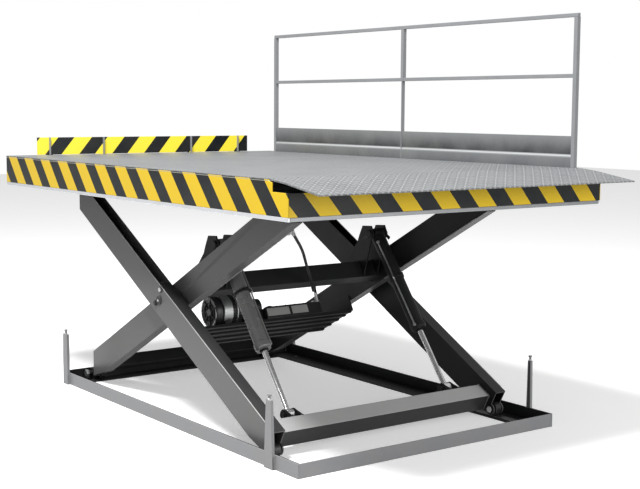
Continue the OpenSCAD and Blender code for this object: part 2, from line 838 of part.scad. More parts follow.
// The rear beam has a sill under the hinges of the stop plate
module rear_beam() {
  color(yellow) {
    translate([deck_back, -skirt_y, strip_top]) cube([skirt_t, 2 * skirt_y, stop_sill_z - strip_top]);
    translate([deck_back, -stop_notch_y, stop_sill_z - sill_t])
      cube([stop_notch_x - deck_back, 2 * stop_notch_y, sill_t]);
    both_sides() translate([deck_back, stop_notch_y, strip_top])
      cube([skirt_t, skirt_y - stop_notch_y, rail_top_z - strip_top]);
  }
}

// Two long beams that come to rest on the caps of the support posts
long_beam_y = long_beam_gap / 2;

module long_beams() {
  color(dark_grey) both_sides()
    translate([deck_back + strip_t, long_beam_y, strip_low + 1]) difference() {
      cube([deck_len - hinge_back - strip_t - swing_gap, long_beam_w, rail_top_z - strip_low - 1]);
      translate([-over, 6, 6])
        cube([deck_len, long_beam_w, rail_top_z - strip_low - 13]);
    }
}

// A channel across the platform, open at its top
module deck_beam(x, y0, y1) {
  translate([x - deck_beam_w / 2, y0, rail_top_z - deck_beam_d]) difference() {
    cube([deck_beam_w, y1 - y0, deck_beam_d]);
    translate([6, -over, 6]) cube([deck_beam_w - 12, y1 - y0 + 2 * over, deck_beam_d]);
  }
}

beam_places = [-1820, -1500, -1120, -760, -400, -40, 320, 700, 1060];
front_beam_places = [1400, 1650];
rail_y0 = inner_mid_y - rail_w / 2;
rail_y1 = inner_mid_y + rail_w / 2;

// Channels across the platform, kept off the cylinder brackets and the rails
module deck_beams() {
  color(dark_grey) {
    for (x = beam_places) deck_beam(x, -long_beam_y, long_beam_y);
    for (x = front_beam_places) {
      deck_beam(x, -rail_y0, rail_y0);
      both_sides() deck_beam(x, rail_y1, long_beam_y);
    }
    for (x = concat(beam_places, front_beam_places))
      both_sides() deck_beam(x, long_beam_y + long_beam_w, skirt_y);
  }
}

// Rails under the deck that the rollers of the inner legs run under
module roller_rails() {
  color(steel_grey) both_sides()
    translate([reach_x - 130, rail_y0, rail_low_z]) cube([rail_len, rail_w, rail_top_z - rail_low_z]);
}

module platform_lugs() {
  color(steel_grey) both_sides() {
    for (y = [outer_mid_y - lug_far, outer_mid_y + lug_near]) {
      translate([-reach_x, 0, top_z]) cross_rod(pin_end_r, y, y + lug_t);
      translate([-reach_x - pin_end_r, y, top_z]) cube([2 * pin_end_r, lug_t, deck_z - deck_t - top_z]);
    }
    translate([-reach_x, 0, top_z])
      cross_rod(end_pin_d / 2, outer_mid_y - lug_far - 8, outer_mid_y + lug_far + 8);
  }
}

// Pale strips under the skirts
module side_strips() {
  color(white_grey) both_sides() translate([deck_back, half_w - strip_t, strip_low])
    cube([deck_len, strip_t, strip_h]);
}

module end_strips() {
  color(white_grey) for (x = [deck_back, deck_front - strip_t])
    translate([x, -half_w + strip_t, strip_low]) cube([strip_t, deck_w - 2 * strip_t, strip_h]);
}

// Hinge of the lip

module hinge_tube(y0, y1) {
  translate([hinge_x + hinge_d / 2, 0, hinge_z]) cross_rod(hinge_d / 2, y0, y1);
}

// Tubes of both hinges that are fixed to the platform, with their rods
module hinge_tubes() {
  color(steel_grey) {
    for (i = [0 : hinge_count]) {
      y0 = -skirt_y + 2 * i * knuckle_w;
      hinge_tube(y0, y0 + knuckle_w);
    }
    translate([hinge_x + hinge_d / 2, 0, hinge_z]) cross_rod(hinge_rod_d / 2, -skirt_y, skirt_y);
    stop_hinge_tubes();
  }
}

// The lip's outline in its own frame, with x along its first run from the hinge's axis
module lip_outline() {
  low = hinge_d / 2 - lip_t;
  run = lip_len - lip_bend_at;
  drop = run * sin(lip_bend);
  polygon([
    [hinge_d / 2 + 2, low], [lip_bend_at, low], [lip_bend_at + run * cos(lip_bend), low - drop],
    [lip_bend_at + run * cos(lip_bend), low - drop + lip_t], [lip_bend_at, low + lip_t],
    [hinge_d / 2 + 2, low + lip_t]
  ]);
}

module lip_plate() {
  color(pale_grey) translate([hinge_x + hinge_d / 2, 0, hinge_z]) rotate([0, lip_slope, 0]) difference() {
    union() {
      upright_plate(-half_w, half_w) lip_outline();
      for (i = [0 : hinge_count - 1]) {
        y0 = -skirt_y + (2 * i + 1) * knuckle_w + side_gap / 2;
        cross_rod(hinge_d / 2, y0, y0 + knuckle_w - side_gap);
        translate([0, y0, hinge_d / 2 - lip_t]) cube([hinge_d, knuckle_w - side_gap, lip_t]);
      }
    }
    cross_rod(hinge_rod_d / 2 + run_fit, -half_w - over, half_w + over);
  }
}

// Rear stop

module stop_hinge_tubes() {
  for (place = stop_places)
    for (way = [-1, 1]) {
      y0 = place + way * (stop_knuckle_w + side_gap / 2) - stop_knuckle_w / 2;
      translate([stop_hinge_x, 0, stop_hinge_z]) cross_rod(stop_hinge_d / 2, y0, y0 + stop_knuckle_w);
      translate([stop_hinge_x - stop_hinge_d / 2, y0, stop_sill_z])
        cube([stop_hinge_d, stop_knuckle_w, stop_hinge_z - stop_sill_z]);
    }
  for (place = stop_places) translate([stop_hinge_x, 0, stop_hinge_z])
    cross_rod(stop_rod_d / 2, place - stop_knuckle_w, place + stop_knuckle_w);
}

// The plate stands on its hinges and folds down to the rear
module stop_plate() {
  color(yellow) difference() {
    union() {
      translate([stop_hinge_x - stop_t / 2, -stop_w / 2, deck_z + 2]) cube([stop_t, stop_w, stop_h - 2]);
      for (place = stop_places) {
        translate([stop_hinge_x + stop_t / 2, place - stop_rib_t / 2, deck_z + 2])
          cube([stop_rib_d, stop_rib_t, stop_h - 2]);
        translate([stop_hinge_x - stop_t / 2, place - stop_knuckle_w / 2 + side_gap / 2, stop_hinge_z])
          cube([stop_t, stop_knuckle_w - side_gap, stop_hinge_d]);
        translate([stop_hinge_x, 0, stop_hinge_z])
          cross_rod(stop_hinge_d / 2, place - stop_knuckle_w / 2 + side_gap / 2,
            place + stop_knuckle_w / 2 - side_gap / 2);
      }
    }
    translate([stop_hinge_x, 0, stop_hinge_z]) cross_rod(stop_rod_d / 2 + run_fit, -half_w, half_w);
  }
}

// Railing

module square_tube(size) {
  difference() {
    cube(size);
    translate([rail_wall, rail_wall, -over])
      cube([size[0] - 2 * rail_wall, size[1] - 2 * rail_wall, size[2] + 2 * over]);
  }
}

post_xs = [railing_back, railing_mid - rail_tube / 2, railing_front - rail_tube];
rail_side = (rail_tube - rail_bar) / 2;
mid_rail_low = mid_rail_h - rail_bar / 2;

// The middle post is a flat bar below the middle rail
module rail_posts() {
  color(steel_grey) {
    for (i = [0, 2]) translate([post_xs[i], railing_y, deck_z])
      square_tube([rail_tube, rail_tube, rail_h - rail_bar]);
    translate([post_xs[1], railing_y, deck_z + mid_rail_low])
      square_tube([rail_tube, rail_tube, rail_h - rail_bar - mid_rail_low]);
    translate([railing_mid - flat_bar_t / 2, railing_y, deck_z])
      cube([flat_bar_t, rail_tube, mid_rail_low + over]);
  }
}

module rails() {
  color(steel_grey) {
    translate([railing_back, railing_y + rail_side, deck_z + rail_h - rail_bar])
      cube([railing_front - railing_back, rail_bar, rail_bar]);
    for (i = [0, 1])
      translate([post_xs[i] + rail_tube, railing_y + rail_side, deck_z + mid_rail_low])
        cube([post_xs[i + 1] - post_xs[i] - rail_tube, rail_bar, rail_bar]);
  }
}

// A folded panel between two posts, from x0 to x1
module toe_board(x0, x1) {
  translate([x0, railing_y, deck_z]) rotate([90, 0, 90]) linear_extrude(height = x1 - x0)
    polygon([
      [0, 0], [toe_t, 0], [toe_t, toe_fold_h - 6], [toe_fold_d, toe_fold_h], [toe_fold_d, toe_h],
      [toe_fold_d - toe_t, toe_h], [toe_fold_d - toe_t, toe_fold_h + 4], [0, toe_fold_h - 2]
    ]);
}

module toe_boards() {
  color(steel_grey) {
    toe_board(post_xs[0] + rail_tube, railing_mid - flat_bar_t / 2);
    toe_board(railing_mid + flat_bar_t / 2, post_xs[2]);
  }
}

base_side(-1);  // base_side_left
base_side(1);  // base_side_right
base_front_bar();
base_rear_bar();
roller_tracks();
foot_lugs();
support_posts();
inner_leg(-1);  // inner_leg_left
inner_leg(1);  // inner_leg_right
inner_cross_tubes();
cylinder_brackets();
unit_tray();
motor();
pump();
oil_tank();
hose_fittings();
hose();
top_roller(-1);  // top_roller_left
top_roller(1);  // top_roller_right
outer_leg(-1);  // outer_leg_left
outer_leg(1);  // outer_leg_right
front_cross_beam();
rod_lugs();
bottom_roller(-1);  // bottom_roller_left
bottom_roller(1);  // bottom_roller_right
barrel(-1);  // barrel_left
barrel(1);  // barrel_right
rod(-1);  // rod_left
rod(1);  // rod_right
deck_plate();
side_skirts();
front_beam();
rear_beam();
long_beams();
deck_beams();
roller_rails();
platform_lugs();
side_strips();
end_strips();
hinge_tubes();
rail_posts();
rails();
toe_boards();
lip_plate();
stop_plate();
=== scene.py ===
"""Dresses the dock lift's fixed frame with its paints, tread, stripes and fine parts."""

import json
import logging
import math
from dataclasses import dataclass, field
from enum import Enum
from functools import cached_property

import bmesh
import bpy
import numpy as np
from mathutils import Matrix, Vector

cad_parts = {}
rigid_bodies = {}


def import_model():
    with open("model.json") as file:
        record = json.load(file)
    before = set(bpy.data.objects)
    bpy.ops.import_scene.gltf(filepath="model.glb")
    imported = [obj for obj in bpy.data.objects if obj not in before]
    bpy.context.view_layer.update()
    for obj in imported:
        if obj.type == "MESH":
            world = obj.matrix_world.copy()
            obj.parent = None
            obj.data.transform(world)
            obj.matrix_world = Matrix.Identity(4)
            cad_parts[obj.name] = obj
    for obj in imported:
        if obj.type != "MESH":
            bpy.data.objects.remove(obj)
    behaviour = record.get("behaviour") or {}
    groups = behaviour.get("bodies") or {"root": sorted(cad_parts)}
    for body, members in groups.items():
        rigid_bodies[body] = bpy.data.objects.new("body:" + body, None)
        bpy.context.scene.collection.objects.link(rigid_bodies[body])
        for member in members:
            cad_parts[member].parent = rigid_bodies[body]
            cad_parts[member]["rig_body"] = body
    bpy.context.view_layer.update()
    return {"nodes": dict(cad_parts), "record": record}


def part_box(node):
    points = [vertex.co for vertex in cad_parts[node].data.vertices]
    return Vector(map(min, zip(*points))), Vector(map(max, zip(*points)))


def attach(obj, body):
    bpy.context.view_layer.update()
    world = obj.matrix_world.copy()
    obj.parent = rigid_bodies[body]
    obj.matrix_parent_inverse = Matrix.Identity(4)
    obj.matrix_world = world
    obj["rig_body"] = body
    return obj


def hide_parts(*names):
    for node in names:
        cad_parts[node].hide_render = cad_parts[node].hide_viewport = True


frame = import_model()
LOG = logging.getLogger("dock_lift")
MM = 0.001
SIDES = ((-1, "left"), (1, "right"))
UP = (0.0, 0.0, 1.0)

Point = tuple[float, float, float]
Pairs = tuple[tuple[float, float], ...]
Inputs = dict[str | int, object]
Socket = bpy.types.NodeSocket


def srgb(code: str) -> tuple[float, float, float, float]:
    """Turns an sRGB hex code into a linear colour.

    Args:
        code: six hex digits, red first.

    Returns:
        Linear red, green and blue with an alpha of one.
    """
    channels = np.array([int(code[i:i + 2], 16) for i in (0, 2, 4)]) / 255
    linear = np.where(channels <= 0.04045, channels / 12.92, ((channels + 0.055) / 1.055) ** 2.4)
    return (*linear.tolist(), 1.0)


def feed(tree: bpy.types.NodeTree, node: bpy.types.Node, inputs: Inputs) -> None:
    """Gives a node its inputs: an output socket is linked, and a plain value is set.

    Args:
        tree: the tree that the node is in.
        node: the node.
        inputs: socket name or number, with the value or output socket that it takes.
    """
    for key, value in inputs.items():
        if isinstance(value, Socket):
            tree.links.new(value, node.inputs[key])
        else:
            node.inputs[key].default_value = value


def add_node(tree: bpy.types.NodeTree, kind: str, inputs: Inputs | None = None,
             **settings: object) -> bpy.types.Node:
    """Adds one node to a tree with its settings and links.

    Args:
        tree: the tree of a material or of the surround.
        kind: the node's type, without the words that all of them start with.
        inputs: socket name or number, with the value or output socket that it takes.
        settings: attributes of the node itself.

    Returns:
        The new node.
    """
    made = tree.nodes.new("ShaderNode" + kind)
    for name, value in settings.items():
        setattr(made, name, value)
    feed(tree, made, inputs or {})
    return made


class Coat:
    """A material in the making: its surface shader and the nodes that feed it."""

    def __init__(self, name: str) -> None:
        """Starts a material that has only its surface shader and its output."""
        self.material = bpy.data.materials.new(name)
        self.material.use_nodes = True
        self.tree = self.material.node_tree
        self.tree.nodes.clear()
        self.shader = add_node(self.tree, "BsdfPrincipled")
        self.output = add_node(self.tree, "OutputMaterial", {"Surface": self.shader.outputs["BSDF"]})

    @cached_property
    def place(self) -> Socket:
        """Gives the place on the lift, in its own frame."""
        return self.add("TexCoord", {}, "Object")

    @cached_property
    def height(self) -> Socket:
        """Gives the height over the floor, with the lift as it stands at rest."""
        return self.add("SeparateXYZ", {"Vector": self.place}, "Z")

    def add(self, kind: str, inputs: Inputs, out: str | int = 0, **settings: object) -> Socket:
        """Adds one node and gives one of its outputs."""
        return add_node(self.tree, kind, inputs, **settings).outputs[out]

    def noise(self, grain_mm: float, detail: float, roughness: float = 0.5,
              stretch: Point | None = None) -> Socket:
        """Adds cloudy noise around a half, of a grain in millimetres that may be stretched along the axes."""
        place = self.place
        if stretch is not None:
            place = self.add("Mapping", {"Vector": place, "Scale": stretch})
        return self.add("TexNoise", {"Vector": place, "Scale": 1 / (grain_mm * MM), "Detail": detail,
                                     "Roughness": roughness})

    def span(self, value: Socket, low: float, high: float, start: float = 0.0, end: float = 1.0) -> Socket:
        """Maps low to high onto start to end, and holds the value at those ends."""
        return self.add("MapRange", {"Value": value, "From Min": low, "From Max": high, "To Min": start,
                                     "To Max": end})

    def blend(self, factor: Socket, first: Socket | str, second: Socket | str) -> Socket:
        """Mixes two colours, each given as a socket or an sRGB code."""
        a, b = (srgb(colour) if isinstance(colour, str) else colour for colour in (first, second))
        return self.add("Mix", {"Factor": factor, "A": a, "B": b}, "Result", data_type="RGBA")

    def math(self, operation: str, *values: object) -> Socket:
        """Does one sum on numbers."""
        return self.add("Math", dict(enumerate(values)), operation=operation)

    def vector(self, operation: str, *values: object) -> Socket:
        """Does one sum on vectors; a dot product gives a number."""
        out = "Value" if operation == "DOT_PRODUCT" else "Vector"
        return self.add("VectorMath", dict(enumerate(values)), out, operation=operation)

    def bump(self, height: Socket, strength: float, distance_mm: float) -> Socket:
        """Tilts the surface as a relief of this height would."""
        return self.add("Bump", {"Height": height, "Strength": strength, "Distance": distance_mm * MM})

    def done(self, colour: Socket, roughness: Socket | float, normal: Socket | None = None,
             **levels: float) -> bpy.types.Material:
        """Feeds the surface shader and gives the material.

        Args:
            colour: the base colour.
            roughness: how rough the surface is.
            normal: the tilted surface, where it has a relief.
            levels: plain values of other inputs, with low dashes for spaces.

        Returns:
            The material.
        """
        inputs = {"Base Color": colour, "Roughness": roughness}
        if normal is not None:
            inputs["Normal"] = normal
        inputs.update({name.replace("_", " "): value for name, value in levels.items()})
        feed(self.tree, self.shader, inputs)
        return self.material


@dataclass(frozen=True)
class PaintedSteel:
    """Two-pack enamel sprayed on welded steel: an even coat with faint orange peel, dulled by dust."""

    name: str
    slot: str
    colour: str
    dusty: str
    roughness: float = 0.45
    dust: float = 0.35
    mottle_mm: float = 260.0
    scuff_mm: float = 45.0
    peel_mm: float = 9.0
    scuff: float = 0.25
    shine: float = 0.45

    def material(self) -> bpy.types.Material:
        """Builds the paint: slow dusty mottling, short scuffs and fine peel."""
        coat = Coat(self.name)
        mottle = coat.noise(self.mottle_mm, 6.0, 0.62)
        base = coat.blend(coat.span(mottle, 0.38, 0.72, end=self.dust), self.colour, self.dusty)
        scuffs = coat.noise(self.scuff_mm, 8.0, 0.7, stretch=(0.5, 0.5, 3.0))
        worn = coat.blend(coat.span(scuffs, 0.60, 0.74, end=self.scuff), base, self.dusty)
        rough = coat.span(mottle, 0.0, 1.0, self.roughness - 0.08, self.roughness + 0.14)
        peel = coat.bump(coat.noise(self.peel_mm, 2.0), 0.12, 1.0)
        return coat.done(worn, rough, peel, Specular_IOR_Level=self.shine)


@dataclass(frozen=True)
class FoldedSheet:
    """Satin grey sheet with a fold, its grey painted by height as painted reflection and shade: dark just
    above the fold, a pale painted highlight on it and grey below.
    """

    name: str
    foot_z: float
    slot: str = "grey_paint"
    height: float = 0.210
    film_mm: float = 210.0
    dusty: str = "8C8D8C"
    # Painted reflection and shade: greys by share of the height over the foot, with a painted highlight on
    # the fold at 0.375 to 0.40.
    bands: tuple[tuple[float, str], ...] = (
        (0.0, "55575A"), (0.30, "6C6E70"), (0.375, "A2A4A5"), (0.40, "A8AAAB"), (0.43, "2C2E30"),
        (0.60, "484A4C"), (0.95, "737577"))

    def material(self) -> bpy.types.Material:
        """Builds the sheet: its grey follows the height over its foot as painted reflection and shade, broken
        by slow mottling.
        """
        coat = Coat(self.name)
        film = coat.noise(self.film_mm, 6.0)
        rise = coat.span(coat.height, self.foot_z, self.foot_z + self.height)
        grey = add_node(coat.tree, "ValToRGB", {"Fac": rise})
        ramp = grey.color_ramp.elements
        for element, (at, code) in zip(ramp, (self.bands[0], self.bands[-1])):
            element.position, element.color = at, srgb(code)
        for at, code in self.bands[1:-1]:
            ramp.new(at).color = srgb(code)
        mottled = coat.blend(coat.span(film, 0.35, 0.7, end=0.22), grey.outputs["Color"], self.dusty)
        return coat.done(mottled, coat.span(film, 0.0, 1.0, 0.2, 0.36))


class Run(Enum):
    """Way that a striped face runs, as weights of x and y in the stripes' phase."""

    ALONG = (1.0, 0.0)
    ACROSS = (0.0, 1.0)


@dataclass(frozen=True)
class HazardStripes:
    """Traffic-yellow enamel with masked black bands: both glossy, under a little road film."""

    name: str
    run: Run
    lean: float
    top_z: float
    first: float
    pitch: float
    black: float
    seam_z: float = 0.0
    yellow: str = "DFBC24"
    slot: str = "yellow_paint"
    dark: str = "0A1014"
    film: str = "8B826A"
    seam: str = "A9A99A"
    line: float = 0.0016

    def material(self) -> bpy.types.Material:
        """Builds the stripes: phase = run + lean times the height under the top, repeated each pitch."""
        coat = Coat(self.name)
        phase = coat.vector("DOT_PRODUCT", coat.place, (*self.run.value, self.lean))
        moved = coat.math("ADD", phase, -self.lean * self.top_z - self.first)
        ragged = coat.math("MULTIPLY_ADD", coat.noise(22.0, 1.0), self.line, moved)
        band = coat.math("LESS_THAN", coat.math("WRAP", ragged, self.pitch, 0.0), self.black)
        film = coat.noise(320.0, 7.0, 0.66)
        paint = coat.blend(band, self.yellow, self.dark)
        dirty = coat.blend(coat.span(film, 0.42, 0.75, end=0.07), paint, self.film)
        # A thin painted highlight along the deck plate's edge seam, at this height.
        highlighted = coat.blend(coat.math("COMPARE", coat.height, self.seam_z, self.line), dirty, self.seam)
        peel = coat.bump(coat.noise(8.0, 2.0), 0.1, 1.0)
        return coat.done(highlighted, coat.span(film, 0.0, 1.0, 0.24, 0.5), peel, Specular_IOR_Level=0.25)


@dataclass(frozen=True)
class TreadPlate:
    """Painted five-bar tread plate: raised lozenges that turn by a quarter from one to the next."""

    name: str
    slot: str = "deck_steel"
    colour: str = "747678"
    trodden: str = "5F6162"
    crest: str = "D4D5D6"
    cell_mm: float = 40.0
    relief_mm: float = 1.8
    slant: float = 0.7071

    def material(self) -> bpy.types.Material:
        """Builds the tread: a long lozenge in each cell, slanted one way in even cells, the other in odd."""
        coat = Coat(self.name)
        cell = self.cell_mm * MM
        scaled = coat.vector("MULTIPLY", coat.place, (1 / cell, 1 / cell, 0.0))
        whole = coat.vector("FLOOR", scaled)
        middle = coat.vector("SUBTRACT", coat.vector("SUBTRACT", scaled, whole), (0.5, 0.5, 0.0))
        odd = coat.math("FLOORED_MODULO", coat.vector("DOT_PRODUCT", whole, (1.0, 1.0, 0.0)), 2.0)
        rise, fall = (coat.vector("DOT_PRODUCT", middle, (self.slant, y, 0.0))
                      for y in (self.slant, -self.slant))
        long_way, short_way = (coat.add("Mix", {0: odd, 2: even_way, 3: odd_way}, data_type="FLOAT")
                               for even_way, odd_way in ((rise, fall), (fall, rise)))
        length = coat.math("MULTIPLY", long_way, 2.2)
        width = coat.math("MULTIPLY", short_way, 6.5)
        spread = coat.math("MULTIPLY_ADD", width, width, coat.math("POWER", length, 2.0))
        height = coat.span(spread, 1.0, 0.55)
        wear = coat.math("MULTIPLY", coat.noise(420.0, 8.0, 0.65), coat.noise(16.0, 3.0))
        dull = coat.blend(coat.span(wear, 0.16, 0.38, 0.1, 0.8), self.colour, self.trodden)
        shown = coat.blend(coat.math("MULTIPLY", height, 0.28), dull, self.crest)
        return coat.done(shown, 0.42, coat.bump(height, 0.8, self.relief_mm))


@dataclass(frozen=True)
class BareMetal:
    """Bare worked metal: hard chrome on the rods, steel on rollers and their bars, milled strip, zinc."""

    name: str
    slot: str
    colour: str
    roughness: float
    metallic: float = 1.0
    grain: Point = (1.0, 1.0, 1.0)
    grain_mm: float = 3.0
    tarnish: float = 0.2
    tarnished: str = "5D5B58"

    def material(self) -> bpy.types.Material:
        """Builds the metal: faint streaks along its grain and soft patches of tarnish."""
        coat = Coat(self.name)
        streak = coat.noise(self.grain_mm, 3.0, stretch=self.grain)
        patch = coat.span(coat.noise(90.0, 5.0), 0.4, 0.75, end=self.tarnish)
        rough = coat.span(streak, 0.0, 1.0, max(self.roughness - 0.07, 0.03), self.roughness + 0.12)
        return coat.done(coat.blend(patch, self.colour, self.tarnished), rough, Metallic=self.metallic)


@dataclass(frozen=True)
class HoseRubber:
    """Smooth extruded nitrile rubber: black and slightly greasy, with a faint grey bloom."""

    name: str = "hose_rubber_finish"
    slot: str = "hose_rubber"

    def material(self) -> bpy.types.Material:
        """Builds the rubber: a dull black, paler in soft clouds."""
        coat = Coat(self.name)
        bloom = coat.noise(30.0, 6.0)
        return coat.done(coat.blend(bloom, "0B0C0C", "1A1B1B"), 0.55, coat.bump(bloom, 0.2, 0.6),
                         Specular_IOR_Level=0.15)


@dataclass
class Shape:
    """Points and faces of a piece, worked out as arrays."""

    points: np.ndarray
    faces: list[tuple[int, ...]]

    @classmethod
    def skin(cls, rows: np.ndarray, capped: bool = True) -> "Shape":
        """Skins rings of points: each face joins two neighbours of one ring to the same two of the next.

        Args:
            rows: rings by points by three coordinates; each ring closes on itself.
            capped: whether the first and last rings are closed with one face each; otherwise the last
                ring joins the first.

        Returns:
            The skinned shape.
        """
        rings, sides = rows.shape[:2]
        index = np.arange(rings * sides).reshape(rings, sides)
        after = np.roll(index, -1, axis=1)
        quads = np.stack([index, after, np.roll(after, -1, axis=0), np.roll(index, -1, axis=0)], axis=-1)
        faces = [tuple(q) for q in (quads[:-1] if capped else quads).reshape(-1, 4).tolist()]
        if capped:
            faces += [tuple(index[0][::-1].tolist()), tuple(index[-1].tolist())]
        return cls(rows.reshape(-1, 3), faces)

    @classmethod
    def together(cls, shapes: list["Shape"]) -> "Shape":
        """Gathers several shapes in one, with the faces' numbers moved on."""
        starts = np.cumsum([0] + [len(s.points) for s in shapes])
        faces = [tuple(int(i + start) for i in f) for s, start in zip(shapes, starts) for f in s.faces]
        return cls(np.concatenate([s.points for s in shapes]), faces)


def circle(sides: int) -> tuple[np.ndarray, np.ndarray]:
    """Gives the cosines and sines of that many even steps round a circle."""
    t = np.linspace(0, 2 * np.pi, sides, endpoint=False)
    return np.cos(t)[:, None], np.sin(t)[:, None]


def lathe(profile: list[tuple[float, float]] | Pairs, start: Point | np.ndarray, axis: Point | np.ndarray,
          sides: int = 32, hollow: bool = False) -> Shape:
    """Turns a profile about an axis: point = start + along * axis + radius * (cos t, sin t) across it.

    Args:
        profile: pairs of distance along the axis and radius, in metres.
        start: where the axis begins.
        axis: its direction.
        sides: number of facets round it; six makes a hexagon head.
        hollow: whether the profile closes on itself, as a ring's does.

    Returns:
        The turned shape, closed at both ends or a ring.
    """
    axis = np.asarray(axis, float) / np.linalg.norm(axis)
    helper = np.array(UP) if abs(axis[2]) < 0.9 else np.array([1.0, 0.0, 0.0])
    e1 = np.cross(axis, helper)
    e1 /= np.linalg.norm(e1)
    e2 = np.cross(axis, e1)
    c, s = circle(sides)
    ring = c * e1 + s * e2
    along, radius = np.array(profile, float).T
    rows = np.asarray(start, float) + along[:, None, None] * axis + radius[:, None, None] * ring[None]
    return Shape.skin(rows, not hollow)


def tube(path: np.ndarray, radius: np.ndarray | float, sides: int) -> Shape:
    """Carries a circle along a path, across the path's own direction at each point.

    Args:
        path: points along the middle, in metres.
        radius: one radius, or one for each point.
        sides: number of facets round it.

    Returns:
        The tube, closed at both ends.
    """
    path = np.asarray(path, float)
    way = np.gradient(path, axis=0)
    way /= np.linalg.norm(way, axis=1)[:, None]
    e1 = np.cross(way, np.array([0.05, 0.9, 0.43]))
    e1 /= np.linalg.norm(e1, axis=1)[:, None]
    e2 = np.cross(way, e1)
    c, s = circle(sides)
    ring = c[None] * e1[:, None] + s[None] * e2[:, None]
    return Shape.skin(path[:, None] + np.reshape(radius, (-1, 1, 1)) * ring)


def smooth_path(places: list[Point], count: int) -> np.ndarray:
    """Rounds a few places into a smooth path: a cubic between each two, through all of them.

    Args:
        places: the places that it goes through, in metres.
        count: number of points on each stretch.

    Returns:
        Points along the smooth path.
    """
    q = np.array(places, float)
    q = np.vstack([2 * q[0] - q[1], q, 2 * q[-1] - q[-2]])
    t = np.linspace(0, 1, count, endpoint=False)[:, None]
    runs = [0.5 * (2 * b + (c - a) * t + (2 * a - 5 * b + 4 * c - d) * t**2 + (3 * b - a - 3 * c + d) * t**3)
            for a, b, c, d in zip(q[:-3], q[1:-2], q[2:-1], q[3:])]
    return np.vstack([*runs, q[-2:-1]])


@dataclass(frozen=True)
class Bench:
    """A working frame: along and across lie in the x-z plane, and y is the lift's own."""

    origin: Point
    turn: float

    def at(self, along: float, y: float, across: float) -> np.ndarray:
        """Gives the place at these distances: origin turned about y, so positive turn dips the far end."""
        c, s = math.cos(self.turn), math.sin(self.turn)
        ox, oy, oz = self.origin
        return np.array([ox + along * c + across * s, oy + y, oz - along * s + across * c])

    def way(self, along: float, y: float, across: float) -> np.ndarray:
        """Gives a direction in this frame."""
        return self.at(along, y, across) - np.array(self.origin)

    def block(self, low: Point, high: Point) -> Shape:
        """Makes a block between two corners of this frame, given as along, y and across."""
        (a0, y0, n0), (a1, y1, n1) = low, high
        corners = ((a0, n0), (a1, n0), (a1, n1), (a0, n1))
        return Shape.skin(np.array([[self.at(a, y, n) for a, n in corners] for y in (y0, y1)]))


@dataclass(frozen=True)
class Stud:
    """A turned or six-sided stud: straight up to one height, then drawn in to its top."""

    radius: float
    straight: float
    height: float
    top: float
    sides: int = 32

    def shape(self, at: Point | np.ndarray, way: Point | np.ndarray) -> Shape:
        """Turns the stud at a place, pointing one way."""
        profile = [(0, self.radius), (self.straight, self.radius), (self.height, self.top)]
        return lathe(profile, at, way, self.sides)


def hex_head(at: np.ndarray, way: Point | np.ndarray, size: float, washer: bool = True) -> list[Shape]:
    """Makes a bolt's hexagon head with its washer: a six-sided turned piece with a chamfered top.

    Args:
        at: where the washer sits.
        way: the way that the head points.
        size: width across the head's corners, in metres.
        washer: whether it has a washer.

    Returns:
        The head's shapes.
    """
    way = np.asarray(way, float) / np.linalg.norm(way)
    r, lift = size / 2, size * 0.09 if washer else 0.0
    shapes = [lathe([(lift, r), (lift + 0.5 * r, r), (lift + 0.62 * r, 0.86 * r)], at, way, 6)]
    if washer:
        shapes.append(lathe([(0, 1.18 * r), (lift * 0.8, 1.18 * r), (lift, 1.1 * r)], at, way, 24))
    return shapes


def bead(start: Point | np.ndarray, end: Point | np.ndarray, radius: float = 0.0045) -> Shape:
    """Lays a weld bead: a thin tube whose radius swells with each ripple, r * (1 + 0.12 sin).

    Args:
        start: where it begins.
        end: where it ends.
        radius: its mean radius in metres.

    Returns:
        The bead.
    """
    length = float(np.linalg.norm(np.asarray(end) - np.asarray(start)))
    steps = int(np.clip(length / 0.012, 4, 60))
    t = np.linspace(0, 1, steps + 1)[:, None]
    path = np.asarray(start) * (1 - t) + np.asarray(end) * t
    return tube(path, radius * (1 + 0.12 * np.sin(np.arange(steps + 1) * 2.1)), 8)


def bead_round(bench: Bench, y: float, low: tuple[float, float], high: tuple[float, float]) -> list[Shape]:
    """Lays beads round the end of a square tube.

    Args:
        bench: the frame that the tube lies in.
        y: where the tube ends.
        low: its first corner, along and across.
        high: its far corner.

    Returns:
        The four beads.
    """
    (u0, n0), (u1, n1) = low, high
    corners = [bench.at(u, y, n) for u, n in ((u0, n0), (u1, n0), (u1, n1), (u0, n1), (u0, n0))]
    return [bead(a, b, 0.005) for a, b in zip(corners[:-1], corners[1:])]


@dataclass(frozen=True)
class Accent:
    """A second finish, for the faces that lie in a box and look one way."""

    material: bpy.types.Material
    low: Point = (-3.0, -3.0, -1.0)
    high: Point = (3.0, 3.0, 4.0)
    facing: Point = (0.0, 0.0, 0.0)

    def mark(self, mesh: bpy.types.Mesh) -> None:
        """Gives this finish to each face whose middle is in the box and whose normal is near the facing."""
        mesh.materials.append(self.material)
        count = len(mesh.polygons)
        middles, normals, chosen = np.empty(count * 3), np.empty(count * 3), np.empty(count, dtype=np.int32)
        mesh.polygons.foreach_get("center", middles)
        mesh.polygons.foreach_get("normal", normals)
        mesh.polygons.foreach_get("material_index", chosen)
        middles, facing = middles.reshape(-1, 3), np.array(self.facing)
        inside = np.all((middles >= self.low) & (middles <= self.high), axis=1)
        turned = normals.reshape(-1, 3) @ facing >= 0.9 * (facing @ facing)
        chosen = np.where(inside & turned, len(mesh.materials) - 1, chosen)
        mesh.polygons.foreach_set("material_index", chosen)


